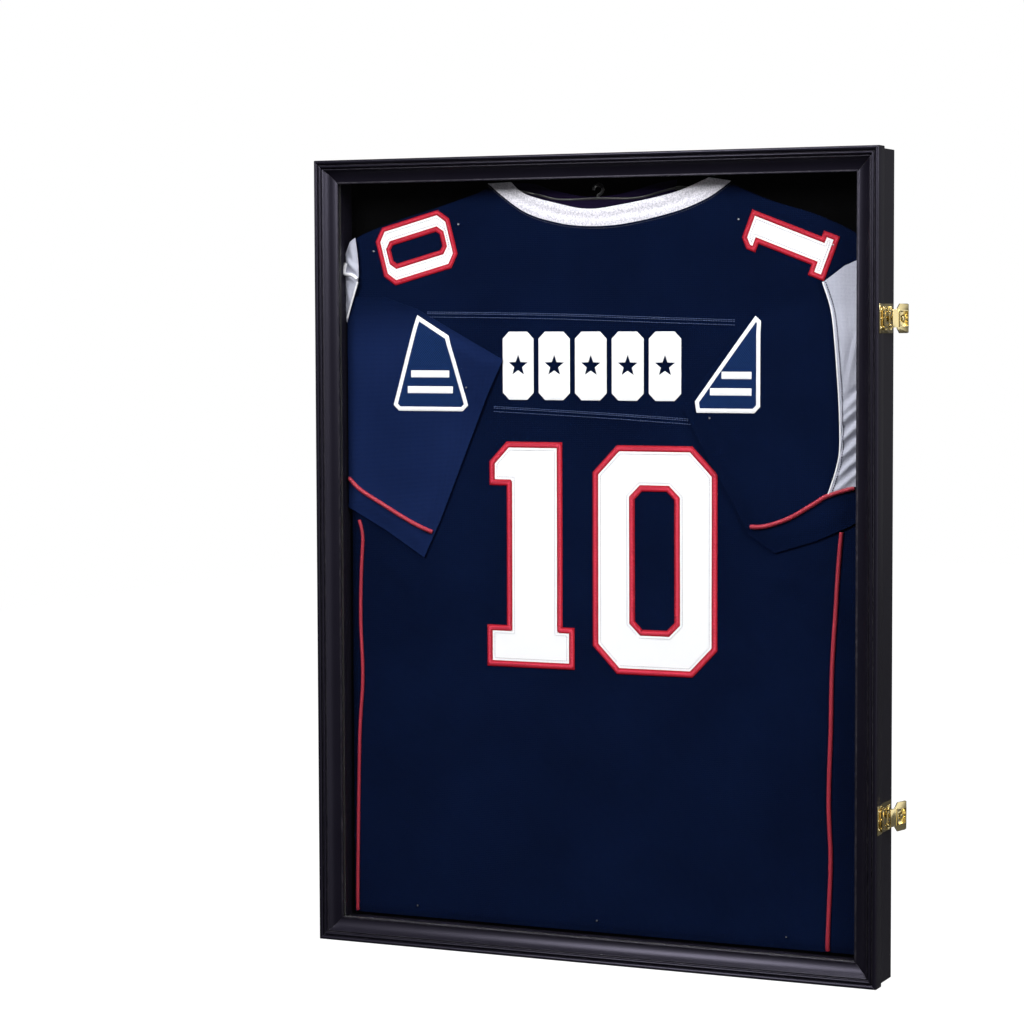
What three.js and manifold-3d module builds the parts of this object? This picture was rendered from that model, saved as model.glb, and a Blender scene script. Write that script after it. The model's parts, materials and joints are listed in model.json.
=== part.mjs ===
// A wall-hung display case for a sports jersey. A shallow black box of four mitred rails holds a
// felt board with the folded jersey pinned to it. A moulded, glazed door hangs on two hinges at the
// left and closes with two brass draw latches at the right. The case hooks onto a wall bracket.
//
// Millimetres, +Z up, the front faces -Y. The origin is on the wall plane, midway between the two
// screws of the wall bracket.
import * as THREE from "three";
import { mergeVertices } from "three/addons/utils/BufferGeometryUtils.js";
import Module from "manifold-3d";

const wasm = await Module();
wasm.setup();

// ---- Driving dimensions ------------------------------------------------------------------------
const frameWidth = 600;
const frameHeight = 800;
const doorDepth = 18; // the moulded door rail, front to back
const doorFace = 24; // the door rail's width, as seen from the front
const boxDepth = 36;
const boxWall = 20; // how wide a box rail is
const boxInset = 2; // the box's outline lies this far inside the door's
const doorGap = 0.4; // between the closed door and the box
const fit = 0.3; // between pieces that seat on or in each other
const mitreGap = 0.1;

const paneThickness = 2;
const paneRebate = 5.5; // how far the door rail's rebate reaches out from the sight edge
const paneRecess = 7.8; // the rebate's depth, from the door's back
const lipThickness = 2.4; // the moulding's lip, in front of the pane
const retainerWidth = 4.8;
const retainerDepth = 3;

const backPanelThickness = 3;
const backPanelRebate = 4;
const feltBoardThickness = 8;

const layerThickness = 4.5; // one folded layer of the jersey's body
const sleeveThickness = 4.2;
const layerSpace = 3.8; // between the two body layers, where the hanger lies
const jerseyMargin = 4; // between the jersey and the box rails

const hangerWire = 3.2;
const hangerHalfSpan = 208;
const hangerHookRadius = 5;

const pinDiameter = 0.8;
const pinLength = 21;
const pinHeadDiameter = 1.8;
const pinHeadThickness = 0.5;

const hingeOffset = 270; // each hinge's middle, above or below the frame's middle
const hingeHeight = 26;
const hingeLeafWidth = 12;
const hingeLeafThickness = 1;
const hingeBarrelRadius = 2.4;
const hingePinRadius = 1;
const hingeAxisOut = 3; // the pin's axis, outside the door's left edge
const hingeMiddleKnuckle = 8.4;

const latchOffset = 238; // each latch's middle, above or below the frame's middle
const latchHeight = 28;
const latchSheet = 1; // sheet brass

const bracketWidth = 45;
const bracketHeight = 17;
const bracketSheet = 1.5;
const bracketOffset = 3.3; // how far the tongue stands off the pads
const bracketTongueWidth = 11;
const bracketBarHeight = 5;
const bracketScrewSpacing = 32;
const bracketScrewHeight = 8.7; // the screw line, above the bracket's straight edge
const bracketGap = 1.5; // behind the inner tongue, to the wall or to the case

const screwShank = 3.5;
const screwHead = 7;
const screwHeadHeight = 2.2;
const screwHeadSunk = 1;
const screwLength = 25;

// ---- Sizes that follow from them ---------------------------------------------------------------
// Inside the case's group y is the depth behind the door's front face, and x = z = 0 is the
// frame's middle.
const boxFront = doorDepth + doorGap;
const boxBack = boxFront + boxDepth;
const boxHalfWidth = frameWidth / 2 - boxInset;
const boxHalfHeight = frameHeight / 2 - boxInset;
const innerHalfWidth = boxHalfWidth - boxWall;
const innerHalfHeight = boxHalfHeight - boxWall;

const paneSeat = doorDepth - paneRecess;
const lipFront = paneSeat - lipThickness;
const paneEdge = doorFace - paneRebate + fit;
const paneFront = paneSeat + fit;
const paneBack = paneFront + paneThickness;

const backPanelFront = boxBack - fit - backPanelThickness;
const feltBack = backPanelFront - 2 * fit;
const feltFront = feltBack - feltBoardThickness;
const rearLayerBack = feltFront - fit;
const rearLayerFront = rearLayerBack - layerThickness;
const backLayerBack = rearLayerFront - layerSpace;
const backLayerFront = backLayerBack - layerThickness;
const sleeveBack = backLayerFront - fit;
const sleeveFront = sleeveBack - sleeveThickness;
const jerseyHalfWidth = innerHalfWidth - jerseyMargin;
const jerseyTop = innerHalfHeight - jerseyMargin;

const hingeX = -frameWidth / 2 - hingeAxisOut;
const hingeY = doorDepth + doorGap / 2;

const bracketStandOff = bracketOffset + bracketSheet + bracketGap; // the case's back to the wall
const bracketEngaged = 2 * bracketBarHeight + fit; // two brackets' straight edges, apart
const caseScrewZ = bracketEngaged - 2 * bracketScrewHeight; // below the wall bracket's screws
const boxLandMiddle = boxHalfHeight - (boxWall - backPanelRebate) / 2;
const caseScrewDrop = 5; // the case bracket's screws, below the middle of the rail's back land

// ---- Materials ---------------------------------------------------------------------------------
const satinBlack = new THREE.MeshStandardMaterial({ color: 0x17161b, roughness: 0.42 });
const boardBlack = new THREE.MeshStandardMaterial({ color: 0x1d1b1b, roughness: 0.8 });
const blackFelt = new THREE.MeshStandardMaterial({ color: 0x060606, roughness: 1 });
const acrylic = new THREE.MeshStandardMaterial({
  color: 0xe8f0f2, roughness: 0.05, transparent: true, opacity: 0.15,
});
const brass = new THREE.MeshStandardMaterial({ color: 0xd8a845, roughness: 0.2, metalness: 1 });
const steel = new THREE.MeshStandardMaterial({ color: 0xb9b7b8, roughness: 0.3, metalness: 1 });
const blackWire = new THREE.MeshStandardMaterial({ color: 0x0c0c0d, roughness: 0.35 });
const navyCloth = new THREE.MeshStandardMaterial({ color: 0x0c1636, roughness: 0.85 });

// ---- Geometry helpers --------------------------------------------------------------------------
function toSolid(geometry) {
  const bare = geometry.clone();
  bare.deleteAttribute("normal");
  bare.deleteAttribute("uv");
  const merged = mergeVertices(bare, 1e-4);
  return new wasm.Manifold(new wasm.Mesh({
    numProp: 3,
    vertProperties: new Float32Array(merged.attributes.position.array),
    triVerts: new Uint32Array(merged.index.array),
  }));
}

function toGeometry(solid) {
  const mesh = solid.getMesh();
  const geometry = new THREE.BufferGeometry();
  geometry.setAttribute("position", new THREE.BufferAttribute(mesh.vertProperties, 3));
  geometry.setIndex(new THREE.BufferAttribute(mesh.triVerts, 1));
  geometry.computeVertexNormals();
  return geometry;
}

const join = (...pieces) => pieces.map(toSolid).reduce((all, piece) => all.add(piece));
const cut = (solid, pieces) => pieces.reduce((rest, piece) => rest.subtract(toSolid(piece)), solid);

function block(x0, x1, y0, y1, z0, z1) {
  const box = new THREE.BoxGeometry(x1 - x0, y1 - y0, z1 - z0);
  return box.translate((x0 + x1) / 2, (y0 + y1) / 2, (z0 + z1) / 2);
}

// An outline of [x, z] points, as a plate from y0 back to y1.
function plate(outline, y0, y1) {
  const shape = new THREE.Shape(outline.map(([x, z]) => new THREE.Vector2(x, z)));
  const solid = new THREE.ExtrudeGeometry(shape, { depth: y1 - y0, bevelEnabled: false });
  return solid.rotateX(Math.PI / 2).translate(0, y1, 0);
}

// An outline of [x, y] points, as a plate from z0 up to z1.
function standingPlate(outline, z0, z1) {
  const shape = new THREE.Shape(outline.map(([x, y]) => new THREE.Vector2(x, y)));
  const solid = new THREE.ExtrudeGeometry(shape, { depth: z1 - z0, bevelEnabled: false });
  return solid.translate(0, 0, z0);
}

function rodAlongZ(radius, x, y, z0, z1, sides = 16) {
  const rod = new THREE.CylinderGeometry(radius, radius, z1 - z0, sides);
  return rod.rotateX(Math.PI / 2).translate(x, y, (z0 + z1) / 2);
}

function rodAlongY(radius, x, z, y0, y1, sides = 12) {
  return new THREE.CylinderGeometry(radius, radius, y1 - y0, sides).translate(x, (y0 + y1) / 2, z);
}

function arc(x, y, radius, fromDegrees, toDegrees, steps) {
  const points = [];
  for (let i = 0; i <= steps; i += 1) {
    const angle = THREE.MathUtils.degToRad(fromDegrees + ((toDegrees - fromDegrees) * i) / steps);
    points.push([x + radius * Math.cos(angle), y + radius * Math.sin(angle)]);
  }
  return points;
}

// A rail along X with mitred ends. The section's points are [in from the outer edge, depth].
// outer is the outer edge's distance above the middle, and halfLength is half the outer edge.
function mitredRail(section, outer, halfLength) {
  const points = section.map(([inward, depth]) => new THREE.Vector2(inward, depth));
  if (THREE.ShapeUtils.isClockWise(points)) points.reverse();
  const count = points.length;
  const positions = [];
  for (const end of [-1, 1]) {
    for (const { x: inward, y: depth } of points) {
      positions.push(end * (halfLength - inward - mitreGap), depth, outer - inward);
    }
  }
  const index = [];
  for (let i = 0; i < count; i += 1) {
    const next = (i + 1) % count;
    index.push(i, next, next + count, i, next + count, i + count);
  }
  for (const [a, b, c] of THREE.ShapeUtils.triangulateShape(points, [])) {
    index.push(c, b, a, a + count, b + count, c + count);
  }
  const rail = new THREE.BufferGeometry();
  rail.setAttribute("position", new THREE.Float32BufferAttribute(positions, 3));
  rail.setIndex(index);
  rail.computeVertexNormals();
  return rail;
}

// The four sides of a mitred frame, as geometry in the frame's own place.
function frameSides(section, halfWidth, halfHeight) {
  return {
    top: mitredRail(section, halfHeight, halfWidth),
    bottom: mitredRail(section, halfHeight, halfWidth).rotateY(Math.PI),
    left: mitredRail(section, halfWidth, halfHeight).rotateY(-Math.PI / 2),
    right: mitredRail(section, halfWidth, halfHeight).rotateY(Math.PI / 2),
  };
}

function add(group, name, geometry, material) {
  const mesh = new THREE.Mesh(geometry, material);
  mesh.name = name;
  group.add(mesh);
  return mesh;
}

const object = new THREE.Group();
const caseGroup = new THREE.Group();
caseGroup.position.set(0, -bracketStandOff - boxBack, caseScrewZ - boxLandMiddle + caseScrewDrop);
object.add(caseGroup);
const upperAndLower = [["upper", 1], ["lower", -1]];
const leftAndRight = [["left", -1], ["right", 1]];

// ---- Door --------------------------------------------------------------------------------------
// Outer bead, second bead, a dark step, then a wide cove that slopes in to a thin lip.
function doorSection() {
  const cove = new THREE.QuadraticBezierCurve(
    new THREE.Vector2(9.6, 2.2), new THREE.Vector2(14, lipFront + 0.4),
    new THREE.Vector2(doorFace - 1.6, lipFront + 0.8),
  );
  return [
    [0, doorDepth],
    ...arc(2.1, 2.2, 2.1, 180, 360, 8),
    [4.5, 2.8],
    [5.2, 2.8],
    ...arc(6.6, 1.9, 1.2, 180, 360, 6),
    [8.1, 3.4],
    [9.4, 3.4],
    ...cove.getPoints(8).map(({ x, y }) => [x, y]),
    [doorFace - 1.2, lipFront],
    [doorFace, lipFront],
    [doorFace, paneSeat],
    [doorFace - paneRebate, paneSeat],
    [doorFace - paneRebate, doorDepth],
  ];
}

function hingeMortise(z, y0, y1) {
  const left = -frameWidth / 2;
  const reach = hingeHeight / 2 + fit;
  return block(left - fit, left + hingeLeafWidth + fit, y0, y1, z - reach, z + reach);
}

const doorRails = frameSides(doorSection(), frameWidth / 2, frameHeight / 2);
const mortiseDepth = hingeLeafThickness + fit;
for (const [side, geometry] of Object.entries(doorRails)) {
  const hinged = side === "left";
  const recesses = upperAndLower.map(([, way]) => hingeMortise(
    way * hingeOffset, doorDepth - mortiseDepth, doorDepth + fit,
  ));
  const rail = hinged ? toGeometry(cut(toSolid(geometry), recesses)) : geometry;
  add(caseGroup, `door_rail_${side}`, rail, satinBlack);
}

const paneHalfWidth = frameWidth / 2 - paneEdge;
const paneHalfHeight = frameHeight / 2 - paneEdge;
add(caseGroup, "door_pane", block(
  -paneHalfWidth, paneHalfWidth, paneFront, paneBack, -paneHalfHeight, paneHalfHeight,
), acrylic);

const retainerSection = [
  [0, paneBack + fit],
  [retainerWidth, paneBack + fit],
  [retainerWidth, paneBack + fit + retainerDepth],
  [0, paneBack + fit + retainerDepth],
];
const retainers = frameSides(retainerSection, paneHalfWidth, paneHalfHeight);
for (const [side, geometry] of Object.entries(retainers)) {
  add(caseGroup, `pane_retainer_${side}`, geometry, boardBlack);
}

// ---- Box ---------------------------------------------------------------------------------------
const boxSection = [
  [0, boxFront],
  [boxWall, boxFront],
  [boxWall, backPanelFront - fit],
  [boxWall - backPanelRebate, backPanelFront - fit],
  [boxWall - backPanelRebate, boxBack],
  [0, boxBack],
];
const bracketScrewX = bracketScrewSpacing / 2;
const caseBracketLine = boxLandMiddle - caseScrewDrop;
const pilotRadius = screwShank / 2 + fit / 2;
const boxRails = frameSides(boxSection, boxHalfWidth, boxHalfHeight);
const boxCuts = {
  top: leftAndRight.map(([, way]) => rodAlongY(
    pilotRadius, way * bracketScrewX, caseBracketLine, boxBack - screwLength, boxBack + fit,
  )),
  left: upperAndLower.map(([, way]) => hingeMortise(
    way * hingeOffset, boxFront - fit, boxFront + mortiseDepth,
  )),
  bottom: [],
  right: [],
};
for (const [side, geometry] of Object.entries(boxRails)) {
  const rail = toGeometry(cut(toSolid(geometry), boxCuts[side]));
  add(caseGroup, `box_rail_${side}`, rail, satinBlack);
}

const panelHalfWidth = innerHalfWidth + backPanelRebate - fit;
const panelHalfHeight = innerHalfHeight + backPanelRebate - fit;
add(caseGroup, "back_panel", block(
  -panelHalfWidth, panelHalfWidth,
  backPanelFront, backPanelFront + backPanelThickness,
  -panelHalfHeight, panelHalfHeight,
), boardBlack);

// ---- Hanger ------------------------------------------------------------------------------------
// Half of the wire's line, [x, z] from the middle out: a dip, a shoulder, a sloping arm and an end
// that curls under.
const hangerDrop = jerseyTop - 8; // the height of the shoulders' crests
const hangerY = (rearLayerFront + backLayerBack) / 2;
const hangerBar = hangerDrop - 9;
const hangerCurl = 13;
const hangerArmEnd = hangerHalfSpan - hangerCurl;

function hangerHalf() {
  const curlMiddle = hangerDrop - 25 - hangerCurl;
  return [
    [0, hangerBar],
    [44, hangerBar],
    [66, hangerDrop - 4],
    [86, hangerDrop],
    [100, hangerDrop - 2],
    [(100 + hangerArmEnd) / 2, hangerDrop - 13],
    ...arc(hangerArmEnd, curlMiddle, hangerCurl, 90, -90, 6),
    [hangerArmEnd - 14, curlMiddle - hangerCurl],
  ];
}

function wire(points, steps) {
  const path = new THREE.CatmullRomCurve3(points, false, "centripetal");
  const ring = arc(0, 0, hangerWire / 2, 0, 315, 7).map(([x, y]) => new THREE.Vector2(x, y));
  return new THREE.ExtrudeGeometry(new THREE.Shape(ring), { steps, extrudePath: path });
}

function hangerSolid() {
  const half = hangerHalf().map(([x, z]) => new THREE.Vector3(x, hangerY, z));
  const mirrored = half.slice(1).reverse().map(({ x, y, z }) => new THREE.Vector3(-x, y, z));
  const hookMiddle = hangerBar + 4 + 2 * hangerHookRadius;
  const hook = [
    [0, hangerBar],
    [0, hangerBar + 3],
    ...arc(0, hookMiddle - hangerHookRadius, hangerHookRadius, -60, 190, 8),
  ].map(([x, z]) => new THREE.Vector3(x, hangerY, z));
  return join(wire([...mirrored, ...half], 110), wire(hook, 26));
}
add(caseGroup, "wire_hanger", toGeometry(hangerSolid()), blackWire);

// ---- Jersey ------------------------------------------------------------------------------------
// Each layer is a plain slab. The outlines are shares of the jersey's half width across, and
// drops from its top down. The back layer is the one on show.
function silhouette(neckHalfWidth, neckDrop) {
  const across = (share) => share * jerseyHalfWidth;
  const down = (drop) => jerseyTop - drop;
  const neck = new THREE.QuadraticBezierCurve(
    new THREE.Vector2(-neckHalfWidth, down(0)),
    new THREE.Vector2(0, down(2 * neckDrop)),
    new THREE.Vector2(neckHalfWidth, down(0)),
  );
  const rightHalf = [
    [across(0.66), down(22)],
    [across(0.85), down(38)],
    [across(0.98), down(54)],
    [across(1), down(74)],
    [across(1), -jerseyTop],
  ];
  const leftHalf = rightHalf.map(([x, z]) => [-x, z]).reverse();
  return [...neck.getPoints(12).map(({ x, y }) => [x, y]), ...rightHalf, ...leftHalf];
}

function leftSleeve() {
  return [
    [-jerseyHalfWidth, jerseyTop - 112],
    [-jerseyHalfWidth + 76, jerseyTop - 128],
    [-jerseyHalfWidth + 168, jerseyTop - 178],
    [-jerseyHalfWidth + 120, jerseyTop - 288],
    [-jerseyHalfWidth + 82, jerseyTop - 376],
    [-jerseyHalfWidth, jerseyTop - 334],
  ];
}

function rightSleeve() {
  return [
    [jerseyHalfWidth, jerseyTop - 112],
    [jerseyHalfWidth, jerseyTop - 328],
    [jerseyHalfWidth - 86, jerseyTop - 362],
    [jerseyHalfWidth - 112, jerseyTop - 342],
    [jerseyHalfWidth - 182, jerseyTop - 222],
    [jerseyHalfWidth - 102, jerseyTop - 126],
  ];
}

// Where the ten pins go in, and what each one holds: [x, z, the depth that its head lies at].
const hookPinZ = hangerBar + 4 + 2 * hangerHookRadius - hangerWire / 2 - pinDiameter / 2 - fit;
const pinPlaces = [
  [0, hookPinZ, backLayerFront],
  ...[-1, 1].flatMap((way) => [
    [way * (jerseyHalfWidth - 124), jerseyTop - 40, backLayerFront],
    [way * (jerseyHalfWidth - 28), jerseyTop - 66, backLayerFront],
    [way * (jerseyHalfWidth - 74), 12 - jerseyTop, backLayerFront],
  ]),
  [-jerseyHalfWidth + 134, jerseyTop - 204, sleeveFront],
  [jerseyHalfWidth - 152, jerseyTop - 232, sleeveFront],
  [0, 12 - jerseyTop, backLayerFront],
];
const pinHoles = (y0, y1) => pinPlaces.map(([x, z]) => rodAlongY(
  pinDiameter / 2 + fit / 2, x, z, y0 - fit, y1 + fit, 8,
));

function softLayer(name, outline, y0, y1) {
  const layer = cut(toSolid(plate(outline, y0, y1)), pinHoles(y0, y1));
  add(caseGroup, name, toGeometry(layer), navyCloth);
}
softLayer("jersey_chest_layer", silhouette(124, 78), rearLayerFront, rearLayerBack);
softLayer("jersey_back_layer", silhouette(124, 34), backLayerFront, backLayerBack);
softLayer("jersey_sleeve_left", leftSleeve(), sleeveFront, sleeveBack);
softLayer("jersey_sleeve_right", rightSleeve(), sleeveFront, sleeveBack);

const felt = block(
  -innerHalfWidth + fit, innerHalfWidth - fit, feltFront, feltBack,
  -innerHalfHeight + fit, innerHalfHeight - fit,
);
add(caseGroup, "felt_board", toGeometry(cut(toSolid(felt), pinHoles(feltFront, feltBack))), blackFelt);

// ---- Pins --------------------------------------------------------------------------------------
function pinGeometry() {
  const profile = [
    [0, 0],
    [pinHeadDiameter / 2, 0],
    [pinHeadDiameter / 2, pinHeadThickness],
    [pinDiameter / 2, pinHeadThickness],
    [pinDiameter / 2, pinLength - 2],
    [0, pinLength],
  ];
  const points = profile.map(([radius, along]) => new THREE.Vector2(radius, along));
  return new THREE.LatheGeometry(points, 8);
}
pinPlaces.forEach(([x, z, depth], i) => {
  const pin = pinGeometry().translate(x, depth - fit - pinHeadThickness, z);
  add(caseGroup, `pin_${String(i + 1).padStart(2, "0")}`, pin, steel);
});

// ---- Hinges ------------------------------------------------------------------------------------
function hingeLeaf(z, y0, knuckles) {
  const left = -frameWidth / 2;
  const half = hingeHeight / 2;
  const leafStart = hingeX + hingeBarrelRadius + fit;
  const tabs = knuckles.map(([z0, z1]) => block(
    hingeX, leafStart + fit, y0, y0 + hingeLeafThickness, z + z0, z + z1,
  ));
  const barrels = knuckles.map(([z0, z1]) => rodAlongZ(
    hingeBarrelRadius, hingeX, hingeY, z + z0, z + z1,
  ));
  const leaf = block(
    leafStart, left + hingeLeafWidth, y0, y0 + hingeLeafThickness, z - half, z + half,
  );
  const bore = rodAlongZ(hingePinRadius + fit / 3, hingeX, hingeY, z - hingeHeight, z + hingeHeight);
  return toGeometry(cut(join(leaf, ...tabs, ...barrels), [bore]));
}

for (const [level, way] of upperAndLower) {
  const z = way * hingeOffset;
  const middle = hingeMiddleKnuckle / 2;
  const end = hingeHeight / 2;
  const doorLeafY = doorDepth - doorGap / 2 - hingeLeafThickness;
  const boxLeafY = boxFront + doorGap / 2;
  const outerKnuckles = [[-end, -middle - fit], [middle + fit, end]];
  add(caseGroup, `hinge_leaf_door_${level}`, hingeLeaf(z, doorLeafY, [[-middle, middle]]), brass);
  add(caseGroup, `hinge_leaf_box_${level}`, hingeLeaf(z, boxLeafY, outerKnuckles), brass);
  add(caseGroup, `hinge_pin_${level}`, rodAlongZ(
    hingePinRadius, hingeX, hingeY, z - end - 1, z + end + 1,
  ), steel);
}

// ---- Latches -----------------------------------------------------------------------------------
// Depths are counted from the middle of the gap between door and box, and heights from the box's
// side. The lever turns on the base's ears, and the loop turns on the lever and hooks the keeper.
const latchY = doorDepth + doorGap / 2;
const boxSide = boxHalfWidth;
const doorSide = frameWidth / 2;
const keeperTop = doorSide + latchSheet;
const leverPivot = { x: boxSide + 5.8, y: latchY + 5 };
const loopPivot = { x: boxSide + 5, y: latchY + 9.4 };
const earReach = 1.9; // the ears' radius about the lever's pin
const latchPinRadius = 0.7;
const loopInner = 8.9; // half the width between the loop's legs
const loopOuter = 11.1;
const loopThickness = 1.4;
const crossbarY = latchY - 9.2;
const lipHalfWidth = 8;
const leverSlope = THREE.MathUtils.degToRad(13.6);
const cheekOuter = 8.3;
const cheekInner = 7.1;
const leverLength = 29;

function latchKeeper() {
  const half = latchHeight / 2;
  const leaf = block(doorSide + fit / 3, keeperTop, latchY - 15.6, latchY - 2.4, -half, half);
  const lip = block(
    keeperTop - latchSheet / 2, keeperTop + 3.2, crossbarY + 1.7, crossbarY + 2.9,
    -lipHalfWidth, lipHalfWidth,
  );
  const curl = rodAlongZ(1.1, keeperTop + 0.9, latchY - 3.6, -lipHalfWidth, lipHalfWidth);
  return toGeometry(join(leaf, lip, curl));
}

function latchBase() {
  const half = latchHeight / 2;
  const sheetTop = boxSide + latchSheet;
  const leaf = block(boxSide + fit / 3, sheetTop, latchY + 1, latchY + 31, -half, half);
  const ears = [-1, 1].map((way) => {
    const outer = way * (cheekInner - fit);
    const inner = way * (cheekInner - fit - latchSheet);
    const outline = [
      [sheetTop - latchSheet / 2, leverPivot.y - earReach],
      ...arc(leverPivot.x, leverPivot.y, earReach, -90, 90, 8),
      [sheetTop - latchSheet / 2, leverPivot.y + earReach],
    ];
    return standingPlate(outline, Math.min(inner, outer), Math.max(inner, outer));
  });
  const stud = new THREE.CylinderGeometry(2.6, 4.4, 4, 20).rotateZ(-Math.PI / 2)
    .translate(sheetTop + 1.9, latchY + 22, 0);
  const bore = rodAlongZ(latchPinRadius + fit / 3, leverPivot.x, leverPivot.y, -half, half);
  return toGeometry(cut(join(leaf, ...ears, stud), [bore]));
}

// The lever's plate lies along its own y, and is then sloped about the pin. It is narrow between
// the loop's legs, and its window is the mouth of a shallow pan with a stud in it.
const leverNeckHalf = 8.5;
const leverNeckLength = 8.4;
const shoulderCut = 3.2;
const panStart = 12.5;
const panEnd = 26.5;
const panHalf = 7;
const panDepth = 1.2; // below the plate
const panRim = { width: 1.2, height: 0.9 };
const panStud = { top: 2.2, foot: 3, height: 2.8 };
const cornerCut = { half: 2.6, length: 8, turn: 0.5, in: 2.4, out: 1.2 };

function leverPlate() {
  const low = earReach + fit + 0.3;
  const high = low + latchSheet;
  const half = latchHeight / 2;
  const outline = [[high, 0.4], [low, 0.4], [low, leverLength], [high, leverLength]];
  const cover = standingPlate(outline, -half, half);
  const sides = [-1, 1].flatMap((way) => [
    block(
      low - fit, high + fit, -fit, leverNeckLength,
      Math.min(way * leverNeckHalf, way * latchHeight),
      Math.max(way * leverNeckHalf, way * latchHeight),
    ),
    block(low - fit, high + fit, -shoulderCut, shoulderCut, -shoulderCut, shoulderCut)
      .rotateX(Math.PI / 4).translate(0, leverNeckLength, way * half),
    block(low - fit, high + fit, 0, cornerCut.length, -cornerCut.half, cornerCut.half)
      .rotateX(way * cornerCut.turn)
      .translate(0, leverLength - cornerCut.in, way * (half + cornerCut.out)),
  ]);
  const panWall = latchSheet;
  const panFloor = low - panDepth;
  const mouth = block(panFloor, high + 4, panStart, panEnd, -panHalf, panHalf);
  const pan = block(
    panFloor - panWall, low + fit / 3,
    panStart - panWall, panEnd + panWall, -panHalf - panWall, panHalf + panWall,
  );
  const rim = block(
    low + latchSheet / 2, high + panRim.height, panStart - panRim.width, panEnd + panRim.width,
    -panHalf - panRim.width, panHalf + panRim.width,
  );
  const stud = new THREE.CylinderGeometry(panStud.top, panStud.foot, panStud.height, 20)
    .rotateZ(-Math.PI / 2)
    .translate(panFloor + panStud.height / 2 - fit / 3, (panStart + panEnd) / 2, 0);
  const plateSolid = cut(toSolid(cover), sides).add(toSolid(pan)).add(toSolid(rim));
  return cut(plateSolid, [mouth]).add(toSolid(stud));
}

function latchLever() {
  const clear = earReach + fit + 0.3;
  const slope = (solid) => {
    const turned = toGeometry(solid).rotateZ(-leverSlope);
    return toSolid(turned.translate(leverPivot.x, leverPivot.y, 0));
  };
  const reach = 1.7;
  const cheekOutline = [
    ...arc(leverPivot.x, leverPivot.y, reach, 180, 270, 4),
    [leverPivot.x + clear + latchSheet / 2, leverPivot.y - 0.4],
    [leverPivot.x + clear + latchSheet / 2 + 1.9, leverPivot.y + 8],
    [leverPivot.x + clear + latchSheet / 2 + 1.9, leverPivot.y + 9],
    ...arc(loopPivot.x, loopPivot.y, reach, 90, 180, 4),
  ];
  const cheeks = [-1, 1].map((way) => toSolid(standingPlate(
    cheekOutline, Math.min(way * cheekInner, way * cheekOuter),
    Math.max(way * cheekInner, way * cheekOuter),
  )));
  const bores = [leverPivot, loopPivot].map(({ x, y }) => rodAlongZ(
    latchPinRadius + fit / 3, x, y, -latchHeight, latchHeight,
  ));
  return toGeometry(cut(slope(leverPlate()).add(cheeks[0]).add(cheeks[1]), bores));
}

function latchLoop() {
  const x0 = keeperTop + 1;
  const x1 = x0 + loopThickness;
  const crossbar = block(x0, x1 + 0.3, crossbarY - 1.2, crossbarY + 1.2, -loopOuter, loopOuter);
  const sides = [-1, 1].flatMap((way) => {
    const z0 = Math.min(way * loopInner, way * loopOuter);
    const z1 = Math.max(way * loopInner, way * loopOuter);
    return [
      block(x0, x1, crossbarY, loopPivot.y, z0, z1),
      rodAlongZ(1.7, loopPivot.x, loopPivot.y, z0, z1),
    ];
  });
  const bore = rodAlongZ(
    latchPinRadius + fit / 3, loopPivot.x, loopPivot.y, -latchHeight, latchHeight,
  );
  return toGeometry(cut(join(crossbar, ...sides), [bore]));
}

for (const [level, way] of upperAndLower) {
  const latch = new THREE.Group();
  latch.position.z = way * latchOffset;
  caseGroup.add(latch);
  add(latch, `latch_keeper_${level}`, latchKeeper(), brass);
  add(latch, `latch_base_${level}`, latchBase(), brass);
  add(latch, `latch_lever_${level}`, latchLever(), brass);
  add(latch, `latch_loop_${level}`, latchLoop(), brass);
  add(latch, `latch_lever_pin_${level}`, rodAlongZ(
    latchPinRadius, leverPivot.x, leverPivot.y, -cheekOuter - fit, cheekOuter + fit,
  ), brass);
  add(latch, `latch_loop_pin_${level}`, rodAlongZ(
    latchPinRadius, loopPivot.x, loopPivot.y, -loopOuter - fit, loopOuter + fit,
  ), brass);
}

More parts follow.
